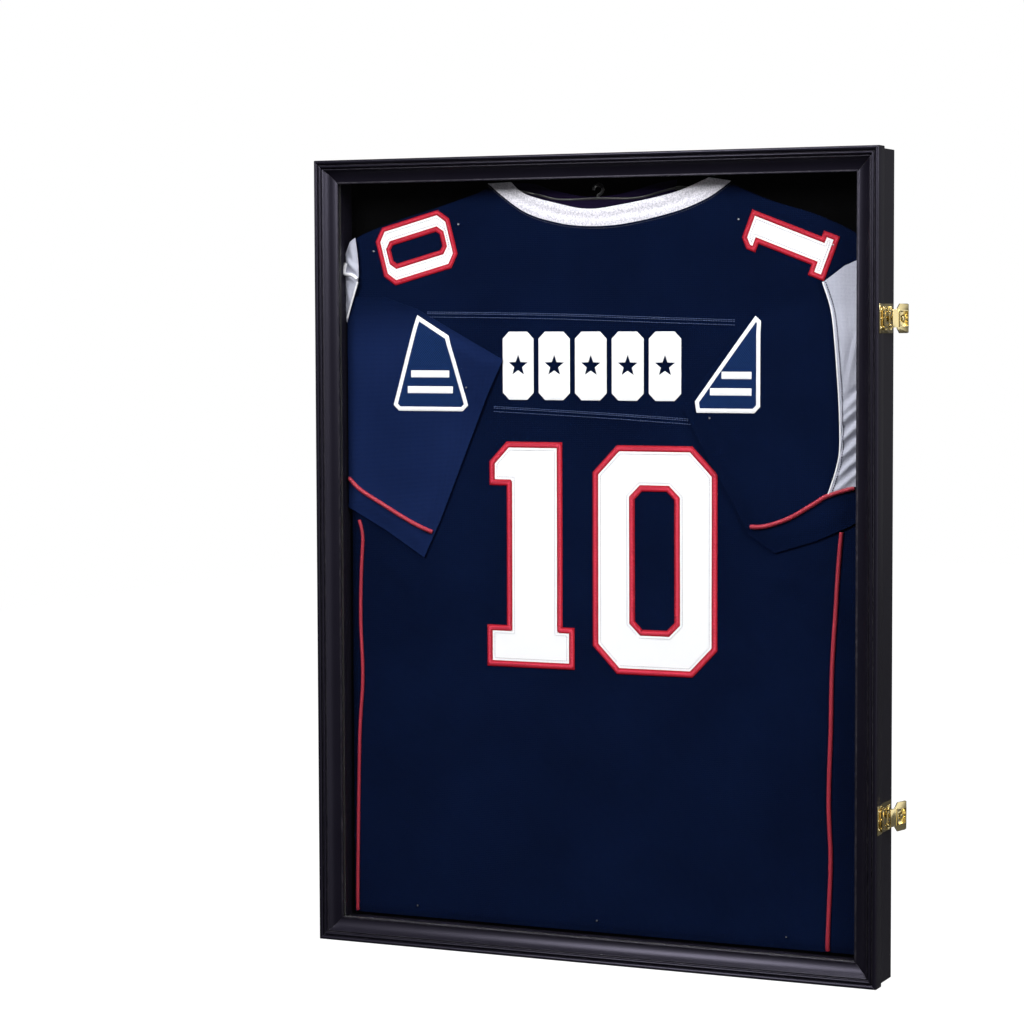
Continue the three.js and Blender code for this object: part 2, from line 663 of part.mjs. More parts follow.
// ---- Wall brackets -----------------------------------------------------------------------------
// One stamped plate, used twice: two pads with sunk screw holes, a bar that steps out between them
// and a tongue. Local y = 0 is the face that is screwed down and -y is away from it; z = 0 is the
// screw line, and the tongue points up.
function bracketSolid() {
  const half = bracketWidth / 2;
  const foot = -bracketScrewHeight;
  const top = foot + bracketHeight;
  const barEdge = bracketTongueWidth / 2 + 2.5;
  const padEdge = barEdge + 2.5;
  const away = -bracketOffset;
  const bar = standingPlate([
    [-padEdge - 1, 0], [-padEdge, 0], [-barEdge, away], [barEdge, away], [padEdge, 0],
    [padEdge + 1, 0], [padEdge + 1, -bracketSheet], [padEdge, -bracketSheet],
    [barEdge, away - bracketSheet], [-barEdge, away - bracketSheet], [-padEdge, -bracketSheet],
    [-padEdge - 1, -bracketSheet],
  ], foot, foot + bracketBarHeight);
  const pads = [-1, 1].map((way) => plate([
    [way * padEdge, foot], [way * (half - 2), foot], [way * half, foot + 2],
    [way * half, top - 2], [way * (half - 2), top], [way * (padEdge + 3.5), top],
    [way * padEdge, top - 5],
  ], -bracketSheet, 0));
  const tongueHalf = bracketTongueWidth / 2;
  const tongue = plate([
    [-tongueHalf, foot + 1], [tongueHalf, foot + 1],
    ...arc(0, top - tongueHalf, tongueHalf, 0, 180, 10),
  ], away - bracketSheet, away);
  const holes = leftAndRight.flatMap(([, way]) => {
    const x = way * bracketScrewX;
    return [
      rodAlongY(screwShank / 2 + fit, x, 0, -2 * bracketSheet, bracketSheet, 16),
      rodAlongY(screwHead / 2 + fit, x, 0, -2 * bracketSheet, screwHeadSunk - bracketSheet, 20),
    ];
  });
  return toGeometry(cut(join(bar, ...pads, tongue), holes));
}

function screwGeometry() {
  const head = new THREE.EllipseCurve(0, 0, screwHead / 2, screwHeadHeight, Math.PI / 2, 0, true);
  const profile = [
    ...head.getPoints(5),
    new THREE.Vector2(screwShank / 2, 0),
    new THREE.Vector2(screwShank / 2, 4 - screwLength),
    new THREE.Vector2(0, -screwLength),
  ].reverse();
  profile[profile.length - 1].x = 0;
  return new THREE.LatheGeometry(profile, 12);
}

// A bracket and its two screws. Local y = 0 is the mounting face, and the screws go in along +y.
function bracketWithScrews(parent, name, material) {
  add(parent, `${name}_bracket`, bracketSolid(), material);
  for (const [side, way] of leftAndRight) {
    const screw = screwGeometry().rotateX(Math.PI).translate(
      way * bracketScrewX, screwHeadSunk - bracketSheet - fit, 0,
    );
    add(parent, `${name}_screw_${side}`, screw, steel);
  }
}

const wallSide = new THREE.Group();
object.add(wallSide);
bracketWithScrews(wallSide, "wall", steel);

const caseSide = new THREE.Group();
caseSide.position.set(0, boxBack, caseBracketLine);
caseSide.rotation.x = Math.PI;
caseGroup.add(caseSide);
bracketWithScrews(caseSide, "case", steel);

export default object;
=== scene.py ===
# %% [markdown]
# # A wall-hung display frame with a sports jersey
#
# The real object is a shallow black box with a glazed, moulded door. Inside it a football jersey
# is folded round a wire hanger and pinned to a felt board, with its back and its two sleeves on
# show. The rigid parts come from a CAD model, which stays as it is. This lesson gives them their
# finish and makes what CAD leaves plain: the cloth, the sewn-on numbers, the stitching and the
# small screws. Lengths are in millimetres until they reach Blender, which works in metres.

import json
import math

import bmesh
import bpy
import numpy as np
from mathutils import Matrix, Vector
from mathutils.geometry import delaunay_2d_cdt


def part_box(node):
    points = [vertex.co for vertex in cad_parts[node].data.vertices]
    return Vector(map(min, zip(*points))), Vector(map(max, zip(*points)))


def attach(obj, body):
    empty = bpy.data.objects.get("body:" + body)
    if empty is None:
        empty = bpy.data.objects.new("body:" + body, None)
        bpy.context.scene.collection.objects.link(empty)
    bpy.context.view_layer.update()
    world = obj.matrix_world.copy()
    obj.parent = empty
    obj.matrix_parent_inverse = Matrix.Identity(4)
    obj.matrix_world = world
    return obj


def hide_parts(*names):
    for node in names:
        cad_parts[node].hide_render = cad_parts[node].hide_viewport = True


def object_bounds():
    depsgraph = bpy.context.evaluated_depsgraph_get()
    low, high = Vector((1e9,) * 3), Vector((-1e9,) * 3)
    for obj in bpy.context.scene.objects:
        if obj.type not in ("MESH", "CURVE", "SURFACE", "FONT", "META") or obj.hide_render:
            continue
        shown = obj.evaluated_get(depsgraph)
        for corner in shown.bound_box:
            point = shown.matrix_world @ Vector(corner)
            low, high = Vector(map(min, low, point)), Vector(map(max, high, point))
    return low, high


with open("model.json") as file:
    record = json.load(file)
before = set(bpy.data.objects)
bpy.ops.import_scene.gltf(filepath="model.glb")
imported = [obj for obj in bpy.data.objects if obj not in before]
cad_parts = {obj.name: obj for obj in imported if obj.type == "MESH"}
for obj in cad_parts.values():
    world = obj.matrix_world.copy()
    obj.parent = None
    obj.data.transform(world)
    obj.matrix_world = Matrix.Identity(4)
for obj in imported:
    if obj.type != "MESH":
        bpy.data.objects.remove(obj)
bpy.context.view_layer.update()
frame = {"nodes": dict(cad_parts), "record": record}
bpy.ops.object.select_all(action="DESELECT")

# %% [markdown]
# Everything is placed from the middle of the door's front face: x to the right, z up, and depth
# counted backwards into the case. The CAD nodes say where that middle is and how deep each layer
# lies, so nothing has to be fitted by eye.

# %% Case coordinates
MM = 0.001
front_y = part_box("door_rail_top")[0].y
middle_z = (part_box("door_rail_top")[1].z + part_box("door_rail_bottom")[0].z) / 2


def spot(x, depth, z):
    """A point of the case in millimetres, as a point of the scene in metres."""
    return Vector((x * MM, front_y + depth * MM, middle_z + z * MM))


def depths(node):
    """How deep a CAD node's front and back lie, in millimetres."""
    low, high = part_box(node)
    return (low.y - front_y) / MM, (high.y - front_y) / MM


back_layer_front, back_layer_back = depths("jersey_back_layer")
chest_layer_front, _ = depths("jersey_chest_layer")
sleeve_space_front, sleeve_space_back = depths("jersey_sleeve_left")
print("back layer", back_layer_front, back_layer_back, "sleeves", sleeve_space_front)

# %% [markdown]
# ## Finishes
#
# Every finish is a procedural material. Effects that several finishes share are node groups: a
# mottle of fine and coarse noise, the wear and painted highlight on broken edges, and three
# textile patterns. They read Object coordinates, which stay on the piece when it moves. The
# Principled shader always sits in the material itself.


# %% Helpers for node trees
def set_or_link(tree, value, socket):
    """Gives a socket a number or a colour, or links another node's output to it."""
    if isinstance(value, (int, float)):
        socket.default_value = value
    elif isinstance(value, tuple):
        socket.default_value = (*value, 1)
    else:
        tree.links.new(value, socket)


def tree_math(tree, operation, first, second=0.0):
    """Two values put together, each a number or another node's output."""
    node = tree.nodes.new("ShaderNodeMath")
    node.operation = operation
    set_or_link(tree, first, node.inputs[0])
    set_or_link(tree, second, node.inputs[1])
    return node.outputs[0]


def map_range(tree, value, from_min, from_max, to_min=0.0, to_max=1.0):
    """A node that takes the values between from_min and from_max to another range."""
    node = tree.nodes.new("ShaderNodeMapRange")
    for socket, number in zip(("From Min", "From Max", "To Min", "To Max"),
                              (from_min, from_max, to_min, to_max)):
        node.inputs[socket].default_value = number
    tree.links.new(value, node.inputs["Value"])
    return node


def split_place(tree):
    """The Object coordinates, as a vector and as x, y and z."""
    place = tree.nodes.new("ShaderNodeTexCoord").outputs["Object"]
    parts = tree.nodes.new("ShaderNodeSeparateXYZ")
    tree.links.new(place, parts.inputs[0])
    return place, parts.outputs


class Finish:
    """A material, with its node tree and its Principled shader at hand."""

    def __init__(self, name, **plain):
        self.material = bpy.data.materials.new(name)
        self.material.use_nodes = True
        self.tree = self.material.node_tree
        self.shader = self.tree.nodes["Principled BSDF"]
        for socket, value in plain.items():
            self.shader.inputs[socket.replace("_", " ")].default_value = value

    def group(self, effect, **values):
        """The outputs of a shared effect, with its inputs set."""
        node = self.tree.nodes.new("ShaderNodeGroup")
        node.node_tree = effect
        for socket, value in values.items():
            node.inputs[socket].default_value = value
        return node.outputs

    def colour(self, mask, dark, light, low=0.0, high=1.0):
        """A colour ramp between two colours, over the mask's values from low to high."""
        ramp = self.tree.nodes.new("ShaderNodeValToRGB")
        first, last = ramp.color_ramp.elements
        first.position, last.position = low, high
        first.color, last.color = (*dark, 1), (*light, 1)
        self.tree.links.new(mask, ramp.inputs["Fac"])
        return ramp.outputs["Color"]

    def spread(self, mask, low, high):
        """The mask's values from 0 to 1, taken to the range from low to high."""
        return map_range(self.tree, mask, 0.0, 1.0, low, high).outputs["Result"]

    def blend(self, factor, first, second):
        """Two colours, each fixed or from another node, mixed by a factor."""
        node = self.tree.nodes.new("ShaderNodeMix")
        node.data_type = "RGBA"
        self.tree.links.new(factor, node.inputs["Factor"])
        first_socket, second_socket = (s for s in node.inputs if s.type == "RGBA")
        set_or_link(self.tree, first, first_socket)
        set_or_link(self.tree, second, second_socket)
        return [s for s in node.outputs if s.type == "RGBA"][0]

    def relief(self, height, distance, strength=1.0):
        """Bump from a height mask. Distance is the real height in millimetres."""
        bump = self.tree.nodes.new("ShaderNodeBump")
        bump.inputs["Strength"].default_value = strength
        bump.inputs["Distance"].default_value = distance * MM
        self.tree.links.new(height, bump.inputs["Height"])
        self.feed("Normal", bump.outputs["Normal"])

    def feed(self, socket, output):
        self.tree.links.new(output, self.shader.inputs[socket])


class Effect:
    """A shader node group in the making: its tree, its sockets and short ways to add nodes."""

    def __init__(self, name, inputs, outputs):
        self.tree = bpy.data.node_groups.new(name, "ShaderNodeTree")
        for way, names in (("INPUT", inputs), ("OUTPUT", outputs)):
            for socket in names:
                self.tree.interface.new_socket(
                    socket, in_out=way, socket_type="NodeSocketFloat"
                )
        self.entry = self.tree.nodes.new("NodeGroupInput").outputs
        self.exit = self.tree.nodes.new("NodeGroupOutput").inputs

    def put(self, value, socket):
        set_or_link(self.tree, value, socket)

    def math(self, operation, first, second=0.0):
        return tree_math(self.tree, operation, first, second)

    def place(self):
        return split_place(self.tree)

    def mark(self, name):
        """The value of a mesh attribute."""
        node = self.tree.nodes.new("ShaderNodeAttribute")
        node.attribute_name = name
        return node.outputs["Fac"]

    def noise(self, vector, scale, detail=2.0):
        node = self.tree.nodes.new("ShaderNodeTexNoise")
        node.inputs["Detail"].default_value = detail
        self.put(vector, node.inputs["Vector"])
        self.put(scale, node.inputs["Scale"])
        return node.outputs["Fac"]


print("node helpers ready")

# %% Shared effects
mottle = Effect("mottle", ["Scale"], ["Fine", "Cloud"])
where, _ = mottle.place()
mottle.put(mottle.noise(where, mottle.entry["Scale"], 4.0), mottle.exit["Fine"])
cloud_scale = mottle.math("MULTIPLY", mottle.entry["Scale"], 0.02)
mottle.put(mottle.noise(where, cloud_scale), mottle.exit["Cloud"])

# A bevel's narrow faces carry the attribute "edge", and noise breaks the mark up along them. The
# lighter colour there is partly wear and partly a painted highlight on the edges.
edge_wear_and_highlight = Effect("edge_wear_and_highlight", ["Scale"], ["Wear"])
where, _ = edge_wear_and_highlight.place()
patches = edge_wear_and_highlight.math("POWER", edge_wear_and_highlight.noise(where, edge_wear_and_highlight.entry["Scale"]), 2.0)
worn_and_lit = edge_wear_and_highlight.math("MULTIPLY", edge_wear_and_highlight.mark("edge"), patches)
edge_wear_and_highlight.put(worn_and_lit, edge_wear_and_highlight.exit["Wear"])

# A sports mesh: rows of small eyelets, staggered, with the yarn's own fuzz between them.
knit = Effect("knit", ["Pitch"], ["Height", "Eyelets", "Fuzz"])
where, axes = knit.place()
turns = knit.math("DIVIDE", math.pi, knit.math("MULTIPLY", knit.entry["Pitch"], MM))
across = knit.math("SINE", knit.math("MULTIPLY", axes[0], turns))
upward = knit.math("SINE", knit.math("MULTIPLY", axes[2], turns))
lattice = knit.math("ABSOLUTE", knit.math("MULTIPLY", across, upward))
eyelets = knit.math("POWER", lattice, 2.5)
fuzz = knit.noise(where, 2600.0, 3.0)
knit.put(eyelets, knit.exit["Eyelets"])
knit.put(fuzz, knit.exit["Fuzz"])
yarn = knit.math("SUBTRACT", knit.math("MULTIPLY", fuzz, 0.35), eyelets)
knit.put(yarn, knit.exit["Height"])

# Woven twill: fine slanting ribs.
twill = Effect("twill", ["Pitch"], ["Height"])
where, axes = twill.place()
turns = twill.math("DIVIDE", 2 * math.pi, twill.math("MULTIPLY", twill.entry["Pitch"], MM))
slant = twill.math("ADD", axes[0], twill.math("MULTIPLY", axes[2], 0.8))
ribs = twill.math("SINE", twill.math("MULTIPLY", slant, turns))
weave = twill.math("ADD", twill.math("MULTIPLY", ribs, 0.35), twill.noise(where, 900.0))
twill.put(weave, twill.exit["Height"])

# Satin stitch: threads side by side across a border. "run" is how far along the border, and
# "inset" how far in from its outer edge, both in millimetres.
satin = Effect("satin_stitch", ["Pitch", "Width"], ["Height", "Inset"])
turns = satin.math("DIVIDE", 2 * math.pi, satin.entry["Pitch"])
threads = satin.math("SINE", satin.math("MULTIPLY", satin.mark("run"), turns))
satin.put(threads, satin.exit["Height"])
share = satin.math("DIVIDE", satin.mark("inset"), satin.entry["Width"])
satin.put(share, satin.exit["Inset"])
print("effects:", [group.name for group in bpy.data.node_groups])


# %% Rigid finishes
def mottled(name, scale, tone, dark, light, low=0.0, high=1.0, rough=None, height=0.0, **plain):
    """A finish that noise varies: its colour by the noise named tone, its roughness by the other.

    rough is the range of roughness, if it varies, and height the depth of the grain in mm.
    """
    finish = Finish(name, **plain)
    noise = finish.group(mottle.tree, Scale=scale)
    finish.feed("Base Color", finish.colour(noise[tone], dark, light, low, high))
    if rough:
        other = "Cloud" if tone == "Fine" else "Fine"
        finish.feed("Roughness", finish.spread(noise[other], *rough))
    if height:
        finish.relief(noise["Fine"], height)
    return finish


satin_black = Finish("satin_black_foil", Specular_IOR_Level=0.28, Specular_Tint=(0.8, 0.76, 1, 1))
noise = satin_black.group(mottle.tree, Scale=900.0)
wear_and_highlight = satin_black.group(edge_wear_and_highlight.tree, Scale=160.0)["Wear"]
foil = satin_black.colour(noise["Cloud"], (0.0036, 0.003, 0.006), (0.0064, 0.0056, 0.01))
# The bevel faces turn a lighter grey: partly wear, partly a painted highlight along the edges.
satin_black.feed("Base Color", satin_black.blend(wear_and_highlight, foil, (0.07, 0.066, 0.075)))
satin_black.feed("Roughness", satin_black.spread(noise["Fine"], 0.3, 0.42))
satin_black.relief(noise["Fine"], 0.02)

black_board = mottled("black_fibreboard", 700.0, "Fine", (0.008, 0.008, 0.009),
                      (0.022, 0.021, 0.02), 0.3, 0.7, rough=(0.6, 0.8), height=0.08)
felt = mottled("black_felt", 1600.0, "Fine", (0.0002, 0.0002, 0.0003), (0.0014, 0.0014, 0.0016),
               0.35, 0.7, height=0.3, Roughness=1.0, Specular_IOR_Level=0.03)
brass = mottled("polished_brass", 1200.0, "Cloud", (0.84, 0.68, 0.33), (0.96, 0.83, 0.46),
                rough=(0.1, 0.26), height=0.01, Metallic=1.0)
steel = mottled("zinc_steel", 800.0, "Cloud", (0.48, 0.47, 0.48), (0.68, 0.67, 0.68),
                rough=(0.2, 0.38), height=0.01, Metallic=1.0)
black_wire = mottled("black_coated_wire", 700.0, "Fine", (0.006, 0.006, 0.007),
                     (0.016, 0.016, 0.017), rough=(0.28, 0.4), height=0.02)
print("rigid finishes:", len(bpy.data.materials))

# %% Clear acrylic
# Light for the jersey passes straight through, or the pane would throw a shadow as black as the
# frame's. The surface itself is a plain Principled glass.
acrylic = Finish("clear_acrylic", Base_Color=(0.985, 0.99, 0.99, 1), Roughness=0.0, IOR=1.49,
                 Transmission_Weight=1.0)
passing = acrylic.tree.nodes.new("ShaderNodeBsdfTransparent")
mixed = acrylic.tree.nodes.new("ShaderNodeMixShader")
path = acrylic.tree.nodes.new("ShaderNodeLightPath").outputs
either = tree_math(acrylic.tree, "MAXIMUM", path["Is Shadow Ray"], path["Is Diffuse Ray"])
acrylic.tree.links.new(either, mixed.inputs[0])
acrylic.tree.links.new(acrylic.shader.outputs[0], mixed.inputs[1])
acrylic.tree.links.new(passing.outputs[0], mixed.inputs[2])
acrylic.tree.links.new(mixed.outputs[0], acrylic.tree.nodes["Material Output"].inputs["Surface"])
print("acrylic ready")


# %% Textile finishes
EYELET_SHADE = 0.35
CLOTH_TONES = (0.3, 0.7)  # the noise values between which a yarn goes from dark to light


def knit_finish(name, dark, light, pitch=1.9, fade=None):
    """Sports mesh. fade is (low, high, dark, light): the colours that it turns to with height."""
    finish = Finish(name, Roughness=0.9, Specular_IOR_Level=0.03, Sheen_Weight=0.02,
                    Sheen_Roughness=0.4, Sheen_Tint=(0.2, 0.35, 1.0, 1))
    mesh = finish.group(knit.tree, Pitch=pitch)
    clouds = finish.group(mottle.tree, Scale=500.0)["Cloud"]
    yarn = finish.colour(clouds, dark, light, *CLOTH_TONES)
    if fade:
        low, high, upper_dark, upper_light = fade
        _, axes = split_place(finish.tree)
        rise = map_range(finish.tree, axes["Z"], spot(0, 0, low).z, spot(0, 0, high).z)
        rise.interpolation_type = "SMOOTHSTEP"
        upper = finish.colour(clouds, upper_dark, upper_light, *CLOTH_TONES)
        yarn = finish.blend(rise.outputs["Result"], yarn, upper)
    eyelet = tuple(c * EYELET_SHADE for c in dark)
    finish.feed("Base Color", finish.blend(mesh["Eyelets"], yarn, eyelet))
    finish.relief(mesh["Height"], 0.25, 0.8)
    return finish


NAVY = ((0.0006, 0.0036, 0.0195), (0.0012, 0.0054, 0.027))
navy = knit_finish("navy_mesh", *NAVY)
# The left sleeve is painted lighter than the navy body: painted light from the left on the lifted
# sleeve. Towards the shoulder this painted light fades into the plain navy.
sleeve_navy_painted_lit = knit_finish("navy_sleeve_knit_painted_light", (0.0046, 0.0125, 0.056), (0.007, 0.0175, 0.074), 1.3,
                          fade=(205, 262, *NAVY))
lining = knit_finish("inner_collar_knit", (0.006, 0.0035, 0.017), (0.01, 0.006, 0.025), 1.3)

heather = mottled("silver_heather", 650.0, "Fine", (0.54, 0.53, 0.6), (0.82, 0.8, 0.87), 0.4, 0.56,
                  height=0.2, Roughness=0.75, Sheen_Weight=0.2)

insert_silver = Finish("silver_insert_knit", Roughness=0.6, Sheen_Weight=0.15)
mesh = insert_silver.group(knit.tree, Pitch=1.3)
yarn = insert_silver.colour(mesh["Fuzz"], (0.32, 0.33, 0.41), (0.52, 0.53, 0.62), *CLOTH_TONES)
# The eyelets are painted darker: painted shade in the holes.
insert_silver.feed("Base Color", insert_silver.blend(mesh["Eyelets"], yarn, (0.19, 0.2, 0.26)))
insert_silver.relief(mesh["Height"], 0.2, 0.7)


def thread_finish(name, dark, light, split_at, split_to, shadow=0.6, ridge=0.12):
    """Satin-stitched thread, its tone changing between two shares of its width."""
    finish = Finish(name, Roughness=0.45, Specular_IOR_Level=0.12)
    stitch = finish.group(satin.tree, Pitch=0.9, Width=3.0)
    tone = finish.colour(stitch["Inset"], dark, light, split_at, split_to)
    groove = finish.spread(stitch["Height"], 0.0, 0.4)
    finish.feed("Base Color", finish.blend(groove, tone, tuple(c * shadow for c in dark)))
    finish.relief(stitch["Height"], ridge)
    return finish


red_satin = thread_finish("red_satin_stitch", (0.36, 0.002, 0.012), (0.9, 0.07, 0.125), 0.3, 0.85)
white_satin = thread_finish("white_satin_stitch", (0.86, 0.86, 0.88), (0.94, 0.94, 0.95), 0.0, 1.0,
                            shadow=0.97, ridge=0.04)


def woven_finish(name, dark, light, pitch=1.1, specular=0.3):
    """Twill cloth, darker between its slanting ribs: painted shade in the grooves."""
    finish = Finish(name, Roughness=0.65, Specular_IOR_Level=specular)
    ribs = finish.group(twill.tree, Pitch=pitch)["Height"]
    finish.feed("Base Color", finish.colour(ribs, dark, light, 0.1, 0.7))
    finish.relief(ribs, 0.1)
    return finish


white_twill = woven_finish("white_twill", (0.74, 0.75, 0.78), (0.9, 0.9, 0.91))
blue_fill = woven_finish("blue_fill", (0.0008, 0.005, 0.026), (0.006, 0.025, 0.1), 2.2, 0.04)


def plain_thread(name, dark, light, roughness=0.5):
    return mottled(name, 2200.0, "Fine", dark, light, 0.35, 0.65, height=0.1, Roughness=roughness)


red_piping = plain_thread("red_piping", (0.17, 0.001, 0.01), (0.36, 0.01, 0.032), 0.65)
grey_thread = plain_thread("grey_thread", (0.34, 0.34, 0.38), (0.5, 0.5, 0.54))
white_thread = plain_thread("white_thread", (0.7, 0.7, 0.74), (0.85, 0.85, 0.88))
navy_thread = plain_thread("navy_thread", (0.02, 0.036, 0.1), (0.05, 0.08, 0.19))
dark_thread = plain_thread("dark_thread", (0.01, 0.01, 0.02), (0.03, 0.03, 0.05))
print("all finishes:", len(bpy.data.materials))

# %% [markdown]
# ## The rigid parts
#
# A CAD solid has mathematically sharp edges, which no rail or stamping has, and a sharp edge never
# catches the light. Each rigid part that shows is therefore copied, merged, and given a small
# Bevel modifier, and its bevel faces are marked for the wear and painted edge highlight. The copy
# replaces its CAD node and rides on the same body. Parts that need no softer edge keep the CAD
# mesh and only get a finish.


# %% Break the edges of a copy
body_holding = {
    node: body
    for body, nodes in frame["record"]["behaviour"]["bodies"].items()
    for node in nodes
}


def only(obj):
    """Selects one object and makes it active."""
    bpy.ops.object.select_all(action="DESELECT")
    obj.select_set(True)
    bpy.context.view_layer.objects.active = obj


def broken_copy(node, finish, width, segments=2, corner=32):
    """A copy of a CAD node, with edges sharper than corner degrees broken by width mm."""
    source = frame["nodes"][node]
    mesh = source.data.copy()
    piece = bpy.data.objects.new(node + "_made", mesh)
    bpy.context.collection.objects.link(piece)
    shape = bmesh.new()
    shape.from_mesh(mesh)
    bmesh.ops.remove_doubles(shape, verts=shape.verts, dist=0.01 * MM)
    bmesh.ops.dissolve_limit(
        shape, angle_limit=math.radians(0.5), verts=shape.verts, edges=shape.edges
    )
    shape.to_mesh(mesh)
    shape.free()
    for attribute in [a for a in mesh.attributes if a.name.startswith("sharp")]:
        mesh.attributes.remove(attribute)
    mesh.materials.clear()
    mesh.materials.append(finish.material)
    mesh.materials.append(finish.material)
    only(piece)
    if width:
        bevel = piece.modifiers.new("broken_edges", "BEVEL")
        bevel.width = width * MM
        bevel.segments = segments
        bevel.limit_method = "ANGLE"
        bevel.angle_limit = math.radians(corner)
        bevel.material = 1
        bpy.ops.object.modifier_apply(modifier=bevel.name)
    bpy.ops.object.shade_smooth_by_angle(angle=math.radians(corner))
    marks = mesh.attributes.new("edge", "FLOAT", "FACE")
    for polygon in mesh.polygons:
        marks.data[polygon.index].value = float(polygon.material_index == 1)
        polygon.material_index = 0
    mesh.materials.pop()
    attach(piece, body_holding[node])
    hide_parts(node)
    return piece


def dress(node, finish):
    """A CAD node that is shown as it is, with a finish of its own."""
    materials = frame["nodes"][node].data.materials
    materials.clear()
    materials.append(finish.material)


SIDES = ("top", "bottom", "left", "right")
LEVELS = ("upper", "lower")
for side in SIDES:
    broken_copy(f"door_rail_{side}", satin_black, 0.35, 3)
    broken_copy(f"box_rail_{side}", satin_black, 0.3)
    dress(f"pane_retainer_{side}", black_board)
dress("door_pane", acrylic)
dress("back_panel", black_board)
dress("felt_board", felt)

# %% Brass, steel and wire
for level in LEVELS:
    for part in ("latch_keeper", "latch_base", "latch_lever", "latch_loop"):
        broken_copy(f"{part}_{level}", brass, 0.22)
    for part in ("latch_lever_pin", "latch_loop_pin"):
        broken_copy(f"{part}_{level}", brass, 0.1)
    for part in ("hinge_leaf_door", "hinge_leaf_box"):
        broken_copy(f"{part}_{level}", brass, 0.08)
    broken_copy(f"hinge_pin_{level}", steel, 0.1)
for plate in ("wall_bracket", "case_bracket"):
    broken_copy(plate, steel, 0.25)
for side in ("left", "right"):
    for screw in ("wall_screw", "case_screw"):
        broken_copy(f"{screw}_{side}", steel, 0.0)
broken_copy("wire_hanger", black_wire, 0.0, corner=50)
for i in range(1, 11):
    dress(f"pin_{i:02d}", steel)

# %% [markdown]
# ## The jersey
#
# The jersey is many thin sheets of cloth that lie on each other: the chest layer, the back, the
# two sleeves folded over it, the collar, and the numbers, blocks and badges sewn on top. They all
# lie nearly flat, so each is drawn as an outline, filled with an even net of triangles, and pushed
# to a depth that a function gives: rolled edges, puffed sleeves, folds and creases. A Solidify
# modifier then gives the cloth its thickness. This keeps each fold where the real one is, and a
# number can follow the cloth under it exactly, because it asks the same function.


# %% Lines and outlines
def curve_through(corners, step):
    """Points about step mm apart on a smooth line through the corners."""
    points = [Vector(corner) for corner in corners]
    last = len(points) - 1
    line = []
    for i in range(last):
        a, b, c, d = (points[min(max(i + k, 0), last)] for k in (-1, 0, 1, 2))
        parts = max(1, round((c - b).length / step))
        for k in range(parts):
            t = k / parts
            line.append(0.5 * (2 * b + (c - a) * t + (2 * a - 5 * b + 4 * c - d) * t**2
                               + (3 * b - a - 3 * c + d) * t**3))
    return [tuple(point) for point in [*line, points[last]]]


def straight_through(corners, step, closed=True):
    """Points about step mm apart on straight runs between the corners."""
    line = []
    for start, end in zip(corners, corners[1:] + corners[:1] if closed else corners[1:]):
        parts = max(1, round(math.dist(start, end) / step))
        for k in range(parts):
            t = k / parts
            line.append((start[0] + (end[0] - start[0]) * t, start[1] + (end[1] - start[1]) * t))
    if not closed:
        line.append(tuple(corners[-1]))
    return line


LEAST_MITRE = 0.35  # keeps a very sharp corner from moving too far


def moved_in(corners, distance):
    """A closed outline moved inwards by distance mm, if its corners run anticlockwise."""
    moved = []
    count = len(corners)
    for i in range(count):
        before, here, after = (Vector(corners[(i + k) % count]) for k in (-1, 0, 1))
        first = (here - before).normalized()
        second = (after - here).normalized()
        inward = Vector((-first.y, first.x)) + Vector((-second.y, second.x))
        inward.normalize()
        reach = distance / max(LEAST_MITRE, inward.dot(Vector((-second.y, second.x))))
        moved.append(tuple(here + inward * reach))
    return moved


def nearest(x, z, loops):
    """For each point, its distance to the nearest outline and how far along that it lies."""
    best = np.full(x.shape, 1e9)
    run = np.zeros(x.shape)
    walked = 0.0
    for loop in loops:
        for (ax, az), (bx, bz) in zip(loop, loop[1:] + loop[:1]):
            length = math.hypot(bx - ax, bz - az) or 1e-9
            t = np.clip(((x - ax) * (bx - ax) + (z - az) * (bz - az)) / length**2, 0, 1)
            gap = np.hypot(x - ax - t * (bx - ax), z - az - t * (bz - az))
            closer = gap < best
            best[closer] = gap[closer]
            run[closer] = walked + t[closer] * length
            walked += length
    return best, run


def inside(x, z, loops):
    """True where a point is inside an odd number of the outlines."""
    odd = np.zeros(x.shape, bool)
    for loop in loops:
        for (ax, az), (bx, bz) in zip(loop, loop[1:] + loop[:1]):
            if az != bz:
                crossing = ax + (z - az) * (bx - ax) / (bz - az)
                odd ^= ((az > z) != (bz > z)) & (x < crossing)
    return odd


print("line helpers ready")


# %% Cloth from an outline
ROW_SHARE = 0.866  # a row's rise in steps, so that the triangles are even
RIM_SHARE = 0.55  # how near the rim, in steps, a point of the net may lie


def new_piece(name, mesh, finish):
    """An object with one finish."""
    mesh.materials.append(finish.material)
    piece = bpy.data.objects.new(name, mesh)
    bpy.context.collection.objects.link(piece)
    return piece


def in_jersey(piece, smooth=None):
    """Shades edges below an angle in degrees smooth, and attaches the piece to the case."""
    if smooth:
        only(piece)
        bpy.ops.object.shade_smooth_by_angle(angle=math.radians(smooth))
    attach(piece, "case")
    return piece


